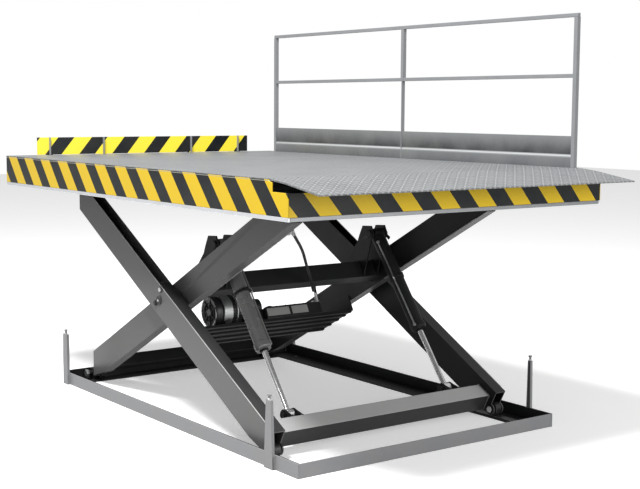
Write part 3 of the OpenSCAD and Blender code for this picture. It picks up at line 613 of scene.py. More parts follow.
FINISHES = {finish.name: finish for finish in (
    PaintedSteel("leg_enamel", "grey_paint", "5D5D5D", "6E6D6A", 0.36, 0.3, shine=0.35),
    # Pale enamel of the thin beads on the legs' edges: a painted highlight of those edges.
    PaintedSteel("rubbed_edge_enamel", "grey_paint", "A5A5A4", "C4C3C0", 0.35, 0.5),
    PaintedSteel("beam_enamel", "grey_paint", "ABABAB", "BAB8B4", 0.4, 0.3),
    # Mid grey: the paint of the pin heads and the motor's grille, and also painted shade on the outer legs'
    # top faces and the front beam's front face.
    PaintedSteel("mid_enamel", "grey_paint", "333334", "434241", 0.42, 0.3, shine=0.2),
    # Dark enamel: the paint of dark parts, and also painted shade on faces that stand in shade, such as the
    # legs' inward faces, the undersides and the right barrel.
    PaintedSteel("shade_enamel", "dark_paint", "1B1C1D", "292827", 0.5, 0.3, shine=0.2),
    PaintedSteel("base_enamel", "base_paint", "86878A", "96948F", 0.45, 0.4),
    PaintedSteel("railing_enamel", "grey_paint", "7E8082", "97969A", 0.34, 0.25),
    PaintedSteel("power_unit_enamel", "unit_paint", "191A1C", "333332", 0.38, 0.35),
    PaintedSteel("barrel_enamel", "grey_paint", "666666", "7C7A77", 0.24, 0.2, shine=0.9),
    PaintedSteel("bare_plate", "unit_paint", "9C9D9B", "85837F", 0.4, 0.5),
    PaintedSteel("painted_weld", "grey_paint", "6E6E6E", "8A8884", 0.4, 0.3),
    FoldedSheet("toe_board_sheet", 1.7366),
    TreadPlate("tread_plate"),
    HazardStripes("side_stripes", Run.ALONG, 0.87, 1.737, -1.441, 0.2995, 0.145, seam_z=1.7245),
    HazardStripes("front_stripes", Run.ACROSS, 0.86, 1.655, -0.991, 0.299, 0.150),
    HazardStripes("stop_stripes", Run.ACROSS, -0.84, 1.868, -0.821, 0.297, 0.142, yellow="F2DF3C"),
    BareMetal("hard_chrome", "bright_steel", "F6F6F7", 0.2, 0.75, (1, 1, 0.1), 4.0, 0.05),
    BareMetal("turned_steel", "bright_steel", "B9B9B8", 0.28),
    BareMetal("rolled_steel", "bright_steel", "4A4A4B", 0.42, 0.9),
    BareMetal("zinc_plate", "bright_steel", "B4B6B5", 0.36, 0.9),
    BareMetal("milled_aluminium", "pale_strip", "D6D8DB", 0.36, 0.55, (0.05, 1, 1), 4.0, 0.12),
    # A darker copy of the milled aluminium for the end strips: painted shade.
    BareMetal("shaded_aluminium", "pale_strip", "8E9092", 0.36, 0.6, (1, 0.05, 1), 4.0, 0.12),
    HoseRubber(),
)}


@dataclass
class Paintshop:
    """Makes each finish's material once."""

    made: dict[str, bpy.types.Material] = field(default_factory=dict)

    def material(self, name: str) -> bpy.types.Material:
        """Gives the material of the finish of that name, made at its first use."""
        if name not in self.made:
            self.made[name] = FINISHES[name].material()
        return self.made[name]


@dataclass
class Lift:
    """Sizes that the lift's parts share, in metres, and its working frames."""

    arm: float = 1.530
    rest: float = math.radians(29.5)
    cant: float = math.radians(1.4)
    pin_z: float = 0.0583
    deck_rise: float = 0.1715
    outer_y: float = 0.880
    outer_w: float = 0.090
    inner_y: float = 0.760
    beam_gap: float = 0.052
    beam_w: float = 0.125
    rod_pin_u: float = 0.083
    rod_pin_n: float = 0.018

    def __post_init__(self) -> None:
        """Works out the places that follow from the scissor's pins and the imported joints."""
        self.reach = self.arm * math.cos(self.rest)
        rise = self.arm * math.sin(self.rest)
        self.mid_z = self.pin_z + rise
        self.deck_z = self.pin_z + 2 * rise + self.deck_rise
        self.outer_face = self.outer_y + self.outer_w
        self.outer = Bench((0.0, 0.0, self.mid_z), self.rest - self.cant)
        self.inner = Bench((0.0, 0.0, self.mid_z), self.cant - self.rest)
        self.beam_u = self.arm * math.cos(self.cant) - self.beam_gap - self.beam_w
        joints = {j["name"]: j for j in frame["record"]["behaviour"]["joints"]}
        x, y, z = joints["cylinder_stroke_right"]["pos_m"]
        way = joints["cylinder_stroke_right"]["axis"]
        self.upper_pin, self.cylinder_y = (x, z), y
        self.cylinder_turn = math.atan2(way[2], -way[0])
        rod = self.outer.at(self.beam_u - self.rod_pin_u, 0.0, -self.rod_pin_n)
        self.rod_pin = (float(rod[0]), float(rod[2]))

    def cylinder(self, side: int) -> Bench:
        """Gives the frame of one cylinder, along it from the upper pin."""
        return Bench((self.upper_pin[0], side * self.cylinder_y, self.upper_pin[1]), self.cylinder_turn)


@dataclass
class Part:
    """A sub-assembly, with the ways that it makes its pieces and puts them on their bodies."""

    lift: Lift
    paintshop: Paintshop

    def place(self, name: str, mesh: bpy.types.Mesh, finish: str, body: str, edge: float,
              stands_for: tuple[str, ...], accents: tuple[Accent, ...] = ()) -> None:
        """Gives a mesh its finish, soft edges, smooth faces and body.

        Args:
            name: the piece's name.
            mesh: its mesh, in the lift's frame.
            finish: the name of its finish.
            body: the CAD body that it moves with.
            edge: width of its softened edges in metres, or nought.
            stands_for: CAD nodes that it replaces.
            accents: second finishes of some of its faces.
        """
        made = bpy.data.objects.new(name, mesh)
        bpy.context.scene.collection.objects.link(made)
        mesh.materials.clear()
        mesh.materials.append(self.paintshop.material(finish))
        mesh.polygons.foreach_set("material_index", np.zeros(len(mesh.polygons), dtype=np.int32))
        for accent in accents:
            accent.mark(mesh)
        mesh.polygons.foreach_set("use_smooth", [True] * len(mesh.polygons))
        if edge:
            soften = made.modifiers.new("soft_edges", "BEVEL")
            soften.width, soften.segments, soften.limit_method = edge, 2, "ANGLE"
            soften.angle_limit, soften.use_clamp_overlap = math.radians(35), True
        mesh.set_sharp_from_angle(angle=math.radians(32))
        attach(made, body)
        if stands_for:
            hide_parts(*stands_for)
        LOG.info("%s: %d points on %s", name, len(mesh.vertices), body)

    def add(self, name: str, shapes: list[Shape], finish: str, body: str, edge: float = 0.0,
            stands_for: tuple[str, ...] = ()) -> None:
        """Makes one piece of shapes, with its faces pointing outwards.

        Args:
            name: the piece's name.
            shapes: what it is made of.
            finish: the name of its finish.
            body: the CAD body that it moves with.
            edge: width of its softened edges in metres, or nought.
            stands_for: CAD nodes that it replaces.
        """
        whole = Shape.together(shapes)
        mesh = bpy.data.meshes.new(name)
        mesh.from_pydata(whole.points.tolist(), [], whole.faces)
        work = bmesh.new()
        work.from_mesh(mesh)
        bmesh.ops.recalc_face_normals(work, faces=work.faces)
        work.to_mesh(mesh)
        work.free()
        self.place(name, mesh, finish, body, edge, stands_for)

    def soften(self, node: str, finish: str, edge: float, *accents: Accent) -> None:
        """Replaces a CAD node by a copy of it with rounded edges, as rolled and ground steel has.

        Args:
            node: the CAD node's name.
            finish: the name of its finish.
            edge: width of the rounded edges in metres.
            accents: second finishes of some of its faces.
        """
        source = frame["nodes"][node]
        mesh = source.data.copy()
        work = bmesh.new()
        work.from_mesh(mesh)
        bmesh.ops.remove_doubles(work, verts=work.verts, dist=0.00002)
        bmesh.ops.dissolve_limit(work, angle_limit=math.radians(1.0), verts=work.verts, edges=work.edges)
        work.to_mesh(mesh)
        work.free()
        self.place(node + "_shape", mesh, finish, source["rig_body"], edge, (node,), accents)


@dataclass
class Base(Part):
    """The floor frame with its roller bars, foot lugs and support posts."""

    corner_xs: tuple[float, ...] = (-1.377, 1.748)
    corner_y: float = 1.0395
    post_y: float = 1.058
    post_foot_y: float = 1.0495
    bar_top: float = 0.088
    posts: tuple[tuple[float, int, float, float], ...] = (
        (1.478, -1, 0.092, 0.414), (1.531, 1, 0.040, 0.414), (-1.312, -1, 0.076, 0.390),
        (-1.312, 1, 0.076, 0.390))
    foot_nut: Stud = Stud(0.029, 0.016, 0.020, 0.025, 6)
    foot_nut_ys: tuple[tuple[float, int], ...] = ((0.868, 1), (0.757, -1))
    post_nut: Stud = Stud(0.0125, 0.010, 0.012, 0.010, 6)
    lower_leg_z: float = 0.05
    corner_low: float = 0.010
    foot_low: float = 0.004
    foot_taper: float = 0.93
    bead_r: float = 0.004

    def dress(self) -> None:
        """Finishes the base's CAD pieces and adds nuts and beads."""
        dark = self.paintshop.material("shade_enamel")
        # Painted shade: the sides' inward faces and low up-facing flanges, and the front bar's inward face,
        # get the dark enamel.
        lower_leg = Accent(dark, high=(3.0, 3.0, self.lower_leg_z), facing=UP)
        for side, name in SIDES:
            inward = Accent(dark, facing=(0.0, -side, 0.0))
            self.soften("base_side_" + name, "base_enamel", 0.002, inward, lower_leg)
        self.soften("base_front_bar", "base_enamel", 0.002, Accent(dark, facing=(-1.0, 0.0, 0.0)))
        self.soften("base_rear_bar", "shade_enamel", 0.002)
        self.soften("roller_tracks", "turned_steel", 0.001)
        self.soften("foot_lugs", "shade_enamel", 0.0015)
        self.soften("support_posts", "base_enamel", 0.001)
        self.nuts()
        self.beads()

    def nuts(self) -> None:
        """Makes the nuts on the foot pins and on the posts' adjusting bolts."""
        shapes = [self.foot_nut.shape((-self.lift.reach, side * y, self.lift.pin_z), (0, side * way, 0))
                  for side in (-1, 1) for y, way in self.foot_nut_ys]
        shapes += [self.post_nut.shape((x, side * self.post_y, z), UP) for x, side, _, z in self.posts]
        self.add("base_nuts", shapes, "zinc_plate", "base")

    def beads(self) -> None:
        """Lays the beads at the base's corners and along the posts' feet."""
        r, low, top = self.bead_r, self.corner_low, self.bar_top
        shapes = [bead((x, side * self.corner_y, low), (x, side * self.corner_y, top), r)
                  for side in (-1, 1) for x in self.corner_xs]
        for x, side, foot, _ in self.posts:
            y = side * self.post_foot_y
            shapes += [bead((x + half, y, self.foot_low), (x + half * self.foot_taper, y, top), r)
                       for half in (-0.5 * foot, 0.5 * foot)]
        self.add("base_beads", shapes, "base_enamel", "base")


@dataclass
class Scissor(Part):
    """The two pairs of legs with their cross members, rollers and pins."""

    middle_cap: Stud = Stud(0.030, 0.006, 0.009, 0.027, 40)
    grease_cap: Stud = Stud(0.010, 0.003, 0.004, 0.008, 24)
    axle_cap: Stud = Stud(0.018, 0.003, 0.006, 0.015)
    axle_nut: Stud = Stud(0.024, 0.004, 0.006, 0.021, 6)
    pin_head: Stud = Stud(0.030, 0.010, 0.013, 0.027)
    eye_head: Stud = Stud(0.026, 0.008, 0.011, 0.022)
    bolt: float = 0.034
    cap_bolt: tuple[float, float] = (-0.016, 0.078)
    side_bolt: tuple[float, float] = (-0.030, -0.045)
    pad: float = 0.003
    bracket_y: float = 0.068
    lug_y: float = 0.043
    weld_back: float = 0.006
    weld_half: float = 0.008
    upper_tube: Pairs = ((0.1495, -0.062), (0.2745, 0.062))
    lower_tube: Pairs = ((-1.4605, -0.053), (-1.3705, 0.037))
    beam_ns: tuple[float, float] = (-0.081, 0.042)
    # Thin beads along the legs' edges that carry a painted highlight.
    seam_n: float = 0.0995
    seam_r: float = 0.0032
    outer_seam_us: tuple[float, float] = (-1.44, 1.47)
    inner_seam_us: tuple[float, float] = (0.30, 1.40)
    tab_low: Point = (-0.085, 0.010, 0.0)
    tab_high: Point = (-0.078, 0.060, 0.090)
    front_from: float = 0.75
    weld_r: float = 0.004
    weld_off: float = 0.002
    bracket_us: tuple[float, float] = (0.150, 0.274)
    bracket_n: float = 0.064
    lug_ns: tuple[float, float] = (-0.068, 0.040)
    keeper_turn: float = 0.5
    keeper_us: tuple[float, float] = (0.018, 0.068)
    keeper_half: float = 0.012
    keeper_t: float = 0.006
    keeper_bolt_u: float = 0.056
    keeper_bolt: float = 0.018

    def dress(self) -> None:
        """Finishes the legs' CAD pieces and adds pins, bolts, tabs and beads."""
        dark, mid = self.paintshop.material("shade_enamel"), self.paintshop.material("mid_enamel")
        top, ahead = (tuple(self.lift.outer.way(*way)) for way in ((0, 0, 1), (1, 0, 0)))
        # Painted shade: the outer legs' top faces get the mid enamel, except front_top, the right leg's top
        # faces ahead of front_from, which keep the leg enamel; the inward faces of all legs get the dark
        # enamel.
        front_top = Accent(self.paintshop.material("leg_enamel"), low=(self.front_from, 0.0, -1.0),
                           facing=top)
        for side, name in SIDES:
            inward = Accent(dark, facing=(0.0, -side, 0.0))
            self.soften("outer_leg_" + name, "leg_enamel", 0.0055, Accent(mid, facing=top), front_top, inward)
            self.soften("inner_leg_" + name, "leg_enamel", 0.004, inward)
        # Painted shade: the front beam's front face gets the mid enamel.
        self.soften("front_cross_beam", "beam_enamel", 0.005, Accent(mid, facing=ahead))
        self.soften("inner_cross_tubes", "shade_enamel", 0.005)
        self.soften("rod_lugs", "shade_enamel", 0.002)
        self.soften("cylinder_brackets", "shade_enamel", 0.002)
        for node in ("top_roller_left", "top_roller_right", "bottom_roller_left", "bottom_roller_right"):
            self.soften(node, "rolled_steel", 0.004)
        self.pin_ends()
        self.bracket_pins()
        self.beads()
        self.channel_tabs()

    def pin_ends(self) -> None:
        """Makes the ends of the middle pins with their two bolts, and the axle ends."""
        lift, bright, pins, axles = self.lift, [], [], []
        for side in (-1, 1):
            face, way = side * lift.outer_face, (0, side, 0)
            pins.append(self.middle_cap.shape((0, face, lift.mid_z), way))
            (u, n), (side_u, side_n) = self.cap_bolt, self.side_bolt
            pins.append(lathe([(0, 0.022), (self.pad, 0.022)], lift.outer.at(u, face, n), way))
            pins += hex_head(lift.outer.at(side_u, face, side_n), way, self.bolt)
            bright += hex_head(lift.outer.at(u, face + side * self.pad, n), way, self.bolt, False)
            bright.append(self.grease_cap.shape((0, face + side * 0.009, lift.mid_z), way))
            axles.append(self.axle_cap.shape((lift.reach, face + side * 0.006, lift.pin_z), way))
            at = (lift.reach, side * (lift.outer_y - 0.006), lift.pin_z)
            axles.append(self.axle_nut.shape(at, (0, -side, 0)))
        self.add("middle_pin_heads", pins, "mid_enamel", "outer_legs")
        self.add("middle_pin_bolts", bright, "zinc_plate", "outer_legs")
        self.add("lower_axle_ends", axles, "zinc_plate", "outer_legs")

    def bracket_pins(self) -> None:
        """Makes the heads and keeper plates of the cylinder pins, above and below."""
        (x, z), (rod_x, rod_z), above, below = self.lift.upper_pin, self.lift.rod_pin, [], []
        for side, way in ((side, way) for side in (-1, 1) for way in (-1, 1)):
            y = side * self.lift.cylinder_y + way * self.bracket_y
            keeper, (u0, u1) = Bench((x, y, z), self.keeper_turn), self.keeper_us
            half, thick = self.keeper_half, way * self.keeper_t
            above.append(self.pin_head.shape((x, y, z), (0, way, 0)))
            above.append(keeper.block((u0, 0.0, -half), (u1, thick, half)))
            above += hex_head(keeper.at(self.keeper_bolt_u, thick, 0.0), (0, way, 0), self.keeper_bolt)
            y = side * self.lift.cylinder_y + way * self.lug_y
            below.append(self.eye_head.shape((rod_x, y, rod_z), (0, way, 0)))
        self.add("upper_pin_heads", above, "shade_enamel", "inner_legs", 0.0006)
        self.add("lower_pin_heads", below, "shade_enamel", "outer_legs", 0.0006)

    def beads(self) -> None:
        """Lays the beads that join the cross members to the legs, round each tube's end."""
        lift, inner, outer = self.lift, [], []
        u0, (n0, n1), r, off = lift.beam_u, self.beam_ns, self.weld_r, self.weld_off
        for side in (-1, 1):
            for tube_end in (self.upper_tube, self.lower_tube):
                inner += bead_round(lift.inner, side * (lift.inner_y - off), *tube_end)
            outer += bead_round(lift.outer, side * (lift.outer_y - off), (u0, n0), (u0 + lift.beam_w, n1))
            for way in (-1, 1):
                for half in (-self.weld_half, self.weld_half):
                    y = side * lift.cylinder_y + way * (self.bracket_y - self.weld_back) + half
                    inner.append(bead(*(lift.inner.at(u, y, self.bracket_n) for u in self.bracket_us), r))
                    y = side * lift.cylinder_y + way * (self.lug_y - self.weld_back) + half
                    outer.append(bead(*(lift.outer.at(u0 - off, y, n) for n in self.lug_ns), r))
        self.add("inner_leg_beads", inner, "shade_enamel", "inner_legs")
        self.add("outer_leg_beads", outer, "painted_weld", "outer_legs")

    def channel_tabs(self) -> None:
        """Makes the small stop tabs on the outer legs and thin pale beads along the legs' edges, a painted
        highlight of those edges.
        """
        lift, tabs, outer_highlights, inner_highlights = self.lift, [], [], []
        (u0, low, n0), (u1, high, n1) = self.tab_low, self.tab_high
        for side in (-1, 1):
            y0, y1 = sorted((side * (lift.outer_y + low), side * (lift.outer_y + high)))
            tabs.append(lift.outer.block((u0, y0, n0), (u1, y1, n1)))
            ends = (lift.outer.at(u, side * lift.outer_face, self.seam_n) for u in self.outer_seam_us)
            outer_highlights.append(bead(*ends, self.seam_r))
            ends = (lift.inner.at(u, side * lift.inner_y, -self.seam_n) for u in self.inner_seam_us)
            inner_highlights.append(bead(*ends, self.weld_r))
        self.add("leg_tabs", tabs, "leg_enamel", "outer_legs", 0.001)
        self.add("outer_leg_seams", outer_highlights, "rubbed_edge_enamel", "outer_legs")
        self.add("inner_leg_seams", inner_highlights, "rubbed_edge_enamel", "inner_legs")


@dataclass
class PowerUnit(Part):
    """The motor, pump, tank, tray and hose that ride on the inner legs."""

    unit_u: float = -0.265
    motor_n: float = -0.044
    motor_y: float = -0.445
    motor_len: float = 0.330
    motor_r: float = 0.117
    cowl: float = 0.060
    shell: float = 0.012
    facets: int = 64
    fins: int = 34
    fin_root: float = 0.016
    fin_halves: tuple[float, float] = (0.002, 0.0013)
    fin_ends: tuple[float, float] = (0.150, 0.024)
    feet: tuple[float, float] = (0.2, 0.7)
    foot_size: Point = (0.075, 0.041, 0.045)
    box_low: Point = (-0.045, 0.17, -0.020)
    box_high: Point = (0.045, 0.27, 0.024)
    struts: int = 7
    strut_in: float = 0.03
    strut_r: float = 0.0045
    wire_r: float = 0.0035
    wire_rings: tuple[float, float] = (0.035, 0.066)
    rim_ring: float = 0.100
    motor_bands: Pairs = ((0.062, 0.074), (0.172, 0.010))
    end_plate_low: Point = (-0.024, -0.004, -0.022)
    end_plate_high: Point = (0.024, 0.003, 0.022)
    floor_n: float = -0.172
    tank_front: float = 0.100
    tank_top: float = -0.080
    lid: float = 0.005
    lid_half: float = 0.090
    lid_ys: tuple[float, float] = (-0.018, 0.43)
    lid_bolt_u: float = 0.078
    lid_bolt_ys: tuple[float, float] = (0.0, 0.42)
    lid_bolts: int = 6
    lid_bolt: float = 0.014
    filler: Pairs = ((0, 0.030), (0.012, 0.030), (0.016, 0.026), (0.040, 0.026), (0.046, 0.020))
    filler_at: tuple[float, float] = (-0.04, 0.10)
    plate_t: float = 0.0016
    plate_ys: Pairs = ((-0.020, 0.178), (0.200, 0.345))
    plate_ns: tuple[float, float] = (-0.152, -0.092)
    rib_starts: Pairs = (
        (-0.600, -0.474), (-0.490, -0.474), (-0.380, -0.474), (-0.282, -0.745), (-0.200, -0.745))
    rib_ns: tuple[float, float] = (-0.192, -0.180)
    valve_us: tuple[float, float] = (-0.47, -0.40)
    valve_ys: tuple[float, float] = (-0.30, -0.16)
    valve_h: float = 0.07
    cartridge: Stud = Stud(0.016, 0.05, 0.052, 0.013, 24)
    cartridges: Pairs = ((-0.435, -0.27), (-0.435, -0.19))
    pump_pipe: tuple[Point, ...] = (
        (-0.40, -0.20, -0.13), (-0.36, -0.18, -0.13), (-0.30, -0.09, -0.115), (-0.265, -0.07, -0.112))

    def __post_init__(self) -> None:
        """Works out the middle of the motor's outer end and the two ways across its axis."""
        self.centre = self.lift.inner.at(self.unit_u, self.motor_y, self.motor_n)
        self.along, self.across = self.lift.inner.way(1, 0, 0), self.lift.inner.way(0, 0, 1)

    def dress(self) -> None:
        """Finishes the unit's CAD pieces and adds its fine parts."""
        self.soften("unit_tray", "shade_enamel", 0.002)
        self.soften("oil_tank", "power_unit_enamel", 0.004)
        self.soften("pump", "power_unit_enamel", 0.004)
        self.soften("hose_fittings", "zinc_plate", 0.001)
        self.soften("hose", "hose_rubber_finish", 0.0)
        self.motor()
        self.motor_trim()
        self.tank_trim()
        self.tray_trim()

    def unit_block(self, low: Point, high: Point) -> Shape:
        """Makes a block in the inner legs' frame, measured from the motor's middle line and its outer end."""
        (u0, y0, n0), (u1, y1, n1) = low, high
        return self.lift.inner.block((self.unit_u + u0, self.motor_y + y0, n0),
                                     (self.unit_u + u1, self.motor_y + y1, n1))

    def motor(self) -> None:
        """Makes the motor: a finned body with a cowl, a terminal box and feet."""
        r, length, cowl, shell = self.motor_r, self.motor_len, self.cowl, self.motor_r - self.shell
        barrel = [(cowl, 0.080), (cowl, shell), (length - 0.02, shell), (length, r - 0.03), (length, 0.05)]
        hood = [(0.004, 0.060), (0.0, r - 0.014), (0.0, r - 0.006), (0.012, r - 0.001), (0.050, r - 0.001),
                (cowl, shell), (cowl, 0.05)]
        body = [lathe(profile, self.centre, (0, 1, 0), self.facets) for profile in (barrel, hood)]
        root, (thick, thin), (start, back) = r - self.fin_root, self.fin_halves, self.fin_ends
        section = ((root, -thick), (r, -thin), (r, thin), (root, thick))
        for t in np.linspace(0, 2 * np.pi, self.fins, endpoint=False):
            out = math.cos(t) * self.along + math.sin(t) * self.across
            side = -math.sin(t) * self.along + math.cos(t) * self.across
            body.append(Shape.skin(np.array([[self.centre + np.array([0, y, 0]) + (out * a + side * b)
                                              for a, b in section] for y in (start, length - back)])))
        floor, (half, wide, high) = self.floor_n, self.foot_size
        body += [self.unit_block((-half, y, floor), (half, y + wide, floor + high))
                 for y in (share * length for share in self.feet)]
        (u0, y0, n0), (u1, y1, n1), top = self.box_low, self.box_high, r + self.motor_n
        body.append(self.unit_block((u0, y0, top + n0), (u1, y1, top + n1)))
        self.add("motor_shape", body, "power_unit_enamel", "inner_legs", 0.001, ("motor",))

    def motor_trim(self) -> None:
        """Makes the cowl's grille of rings and struts, the bright bands and the bare plate on the end."""
        r, centre, along, across = self.motor_r, self.centre, self.along, self.across
        grille, bands = [], []
        for t in np.linspace(0, 2 * np.pi, self.struts, endpoint=False):
            out = math.cos(t) * along + math.sin(t) * across
            ends = np.array([centre + out * self.strut_in, centre + out * (r - self.shell)])
            grille.append(tube(ends, self.strut_r, 8))
        t = np.linspace(0, 2 * np.pi, 49)[:, None]
        for radius, wire in (*((ring, grille) for ring in self.wire_rings), (self.rim_ring, bands)):
            wire.append(tube(centre + (np.cos(t) * along + np.sin(t) * across) * radius, self.wire_r, 6))
        for start, width in self.motor_bands:
            section = [(0, r - 0.014), (0, r + 0.001), (0.003, r + 0.003), (width - 0.003, r + 0.003),
                       (width, r + 0.001), (width, r - 0.014)]
            bands.append(lathe(section, centre + np.array([0, start, 0]), (0, 1, 0), self.facets, True))
        self.add("motor_grille", grille, "mid_enamel", "inner_legs")
        self.add("motor_bands", bands, "zinc_plate", "inner_legs")
        (u0, y0, n0), (u1, y1, n1), n = self.end_plate_low, self.end_plate_high, self.motor_n
        plate = self.unit_block((u0, y0, n + n0), (u1, y1, n + n1))
        self.add("motor_end_plate", [plate], "bare_plate", "inner_legs", 0.001)

    def tank_trim(self) -> None:
        """Makes the two bare plates on the tank's front, its filler cap, its lid and the lid's bolts."""
        inner, u, top = self.lift.inner, self.unit_u, self.tank_top
        front, (n0, n1) = u + self.tank_front, self.plate_ns
        plates = [inner.block((front, y0, n0), (front + self.plate_t, y1, n1)) for y0, y1 in self.plate_ys]
        self.add("tank_plates", plates, "bare_plate", "inner_legs", 0.0006)
        (back, y), half, (y0, y1) = self.filler_at, self.lid_half, self.lid_ys
        cap = lathe(self.filler, inner.at(u + back, y, top), self.across)
        lid = inner.block((u - half, y0, top), (u + half, y1, top + self.lid))
        self.add("tank_lid", [cap, lid], "power_unit_enamel", "inner_legs", 0.001)
        bolts = []
        for bolt_u in (u - self.lid_bolt_u, u + self.lid_bolt_u):
            for y in np.linspace(*self.lid_bolt_ys, self.lid_bolts):
                bolts += hex_head(inner.at(bolt_u, y, top + self.lid), self.across, self.lid_bolt, False)
        self.add("tank_lid_bolts", bolts, "zinc_plate", "inner_legs")

    def tray_trim(self) -> None:
        """Makes the ribs under the tray, the valve block and the pressure pipe from the pump."""
        inner, (n0, n1), top = self.lift.inner, self.rib_ns, self.floor_n + self.valve_h
        ribs = [inner.block((u, y, n0), (u + 0.030, 0.745, n1)) for u, y in self.rib_starts]
        self.add("tray_ribs", ribs, "shade_enamel", "inner_legs", 0.0015)
        (u0, u1), (y0, y1) = self.valve_us, self.valve_ys
        block = [inner.block((u0, y0, self.floor_n), (u1, y1, top))]
        block += [self.cartridge.shape(inner.at(u, y, top), self.across) for u, y in self.cartridges]
        self.add("valve_block", block, "zinc_plate", "inner_legs", 0.0015)
        path = smooth_path([tuple(inner.at(*place)) for place in self.pump_pipe], 8)
        self.add("pump_pipe", [tube(path, 0.008, 12)], "hose_rubber_finish", "inner_legs")


@dataclass
class Platform(Part):
    """The platform's deck, striped skirts, beams and strips."""

    front: float = 1.940
    front_skin: float = 0.0065
    inside_y: float = 1.2445
    bead_y: float = 1.0275
    bead_low: float = 0.066
    bead_len: float = 0.054
    beam_xs: tuple[float, ...] = (-1.79, -1.47, -1.09, -0.73, -0.37, -0.01, 0.35, 0.73, 1.09, 1.43, 1.68)

    def dress(self) -> None:
        """Finishes the platform's CAD pieces and lays the beads between its beams, seen from below."""
        dark = self.paintshop.material("shade_enamel")
        # Painted shade: the front beam's faces behind its front skin, under the lip, and the skirts' inward
        # faces get the dark enamel.
        under_lip = Accent(dark, (0.0, -2.0, 1.0), (self.front - self.front_skin, 2.0, 2.0))
        inside = Accent(dark, (-2.0, -self.inside_y, 1.0), (2.0, self.inside_y, 2.0))
        for node, finish, edge, *accents in (
            ("side_skirts", "side_stripes", 0.0015, inside),
            ("front_beam", "front_stripes", 0.0015, under_lip), ("rear_beam", "front_stripes", 0.0015),
            ("side_strips", "milled_aluminium", 0.003), ("end_strips", "shaded_aluminium", 0.003),
            ("long_beams", "shade_enamel", 0.003), ("deck_beams", "shade_enamel", 0.002),
            ("roller_rails", "shade_enamel", 0.002), ("platform_lugs", "shade_enamel", 0.0015),
            ("deck_plate", "tread_plate", 0.001), ("hinge_tubes", "tread_plate", 0.001),
        ):
            self.soften(node, finish, edge, *accents)
        low = self.lift.deck_z - self.bead_low
        shapes = [bead((x, side * self.bead_y, low), (x, side * self.bead_y, low + self.bead_len))
                  for x in self.beam_xs for side in (-1, 1)]
        self.add("under_deck_beads", shapes, "shade_enamel", "platform")


@dataclass
class Railing(Part):
    """The railing with its posts, rails and folded toe boards."""

    foot_x: float = 0.030
    rail_x: float = 0.031
    middle_rail: tuple[float, float] = (0.597, 0.623)
    foot_lift: float = 0.002
    foot_bead: float = 0.004
    rail_bead: float = 0.003

    def dress(self) -> None:
        """Finishes the railing's CAD pieces and lays beads at the end posts' feet and the middle rail."""
        self.soften("rail_posts", "railing_enamel", 0.002)
        self.soften("rails", "railing_enamel", 0.002)
        self.soften("toe_boards", "toe_board_sheet", 0.0012)
        (x0, y0, _), (x1, y1, _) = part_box("rail_posts")
        deck, foot, r = self.lift.deck_z, self.lift.deck_z + self.foot_lift, self.rail_bead
        shapes = [bead((x, y0, foot), (x, y1, foot), self.foot_bead)
                  for x in (x0 + self.foot_x, x1 - self.foot_x)]
        shapes += [bead((x, y0 + r, deck + z), (x, y1 - r, deck + z), r)
                   for x in (x0 + self.rail_x, x1 - self.rail_x) for z in self.middle_rail]
        self.add("railing_beads", shapes, "railing_enamel", "platform")


@dataclass
class Lip(Part):
    """The hinged lip of tread plate."""

    hinge_x: float = 1.753
    hinge_below: float = 0.013
    dip: float = math.radians(5.5)
    width: float = 2.488
    knuckles: int = 13
    end_gap: float = 0.006
    bead_u: float = 0.0135
    bead_n: float = 0.003
    bead_r: float = 0.002

    def dress(self) -> None:
        """Finishes the lip and lays a bead along each of its hinge tubes."""
        self.soften("lip_plate", "tread_plate", 0.001)
        bench = Bench((self.hinge_x, 0.0, self.lift.deck_z - self.hinge_below), self.dip)
        step, start = self.width / self.knuckles, -self.width / 2
        u, n, gap = self.bead_u, self.bead_n, self.end_gap
        shapes = [bead(bench.at(u, start + i * step + gap, n), bench.at(u, start + (i + 1) * step - gap, n),
                       self.bead_r) for i in range(1, self.knuckles, 2)]
        self.add("lip_beads", shapes, "tread_plate", "lip")


@dataclass
class RearStop(Part):
    """The striped plate that stands at the platform's rear edge, with its ribs."""

    rib_depth: float = 0.0155
    below: float = 0.1
    face: float = 0.001

    def dress(self) -> None:
        """Finishes the plate, with its ribs in the railing's grey."""
        x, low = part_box("stop_plate")[1][0], self.lift.deck_z - self.below
        grey = self.paintshop.material("railing_enamel")
        ribs = Accent(grey, (x - self.rib_depth, -2.0, low), (x + self.face, 2.0, 3.0))
        self.soften("stop_plate", "stop_stripes", 0.001, ribs)


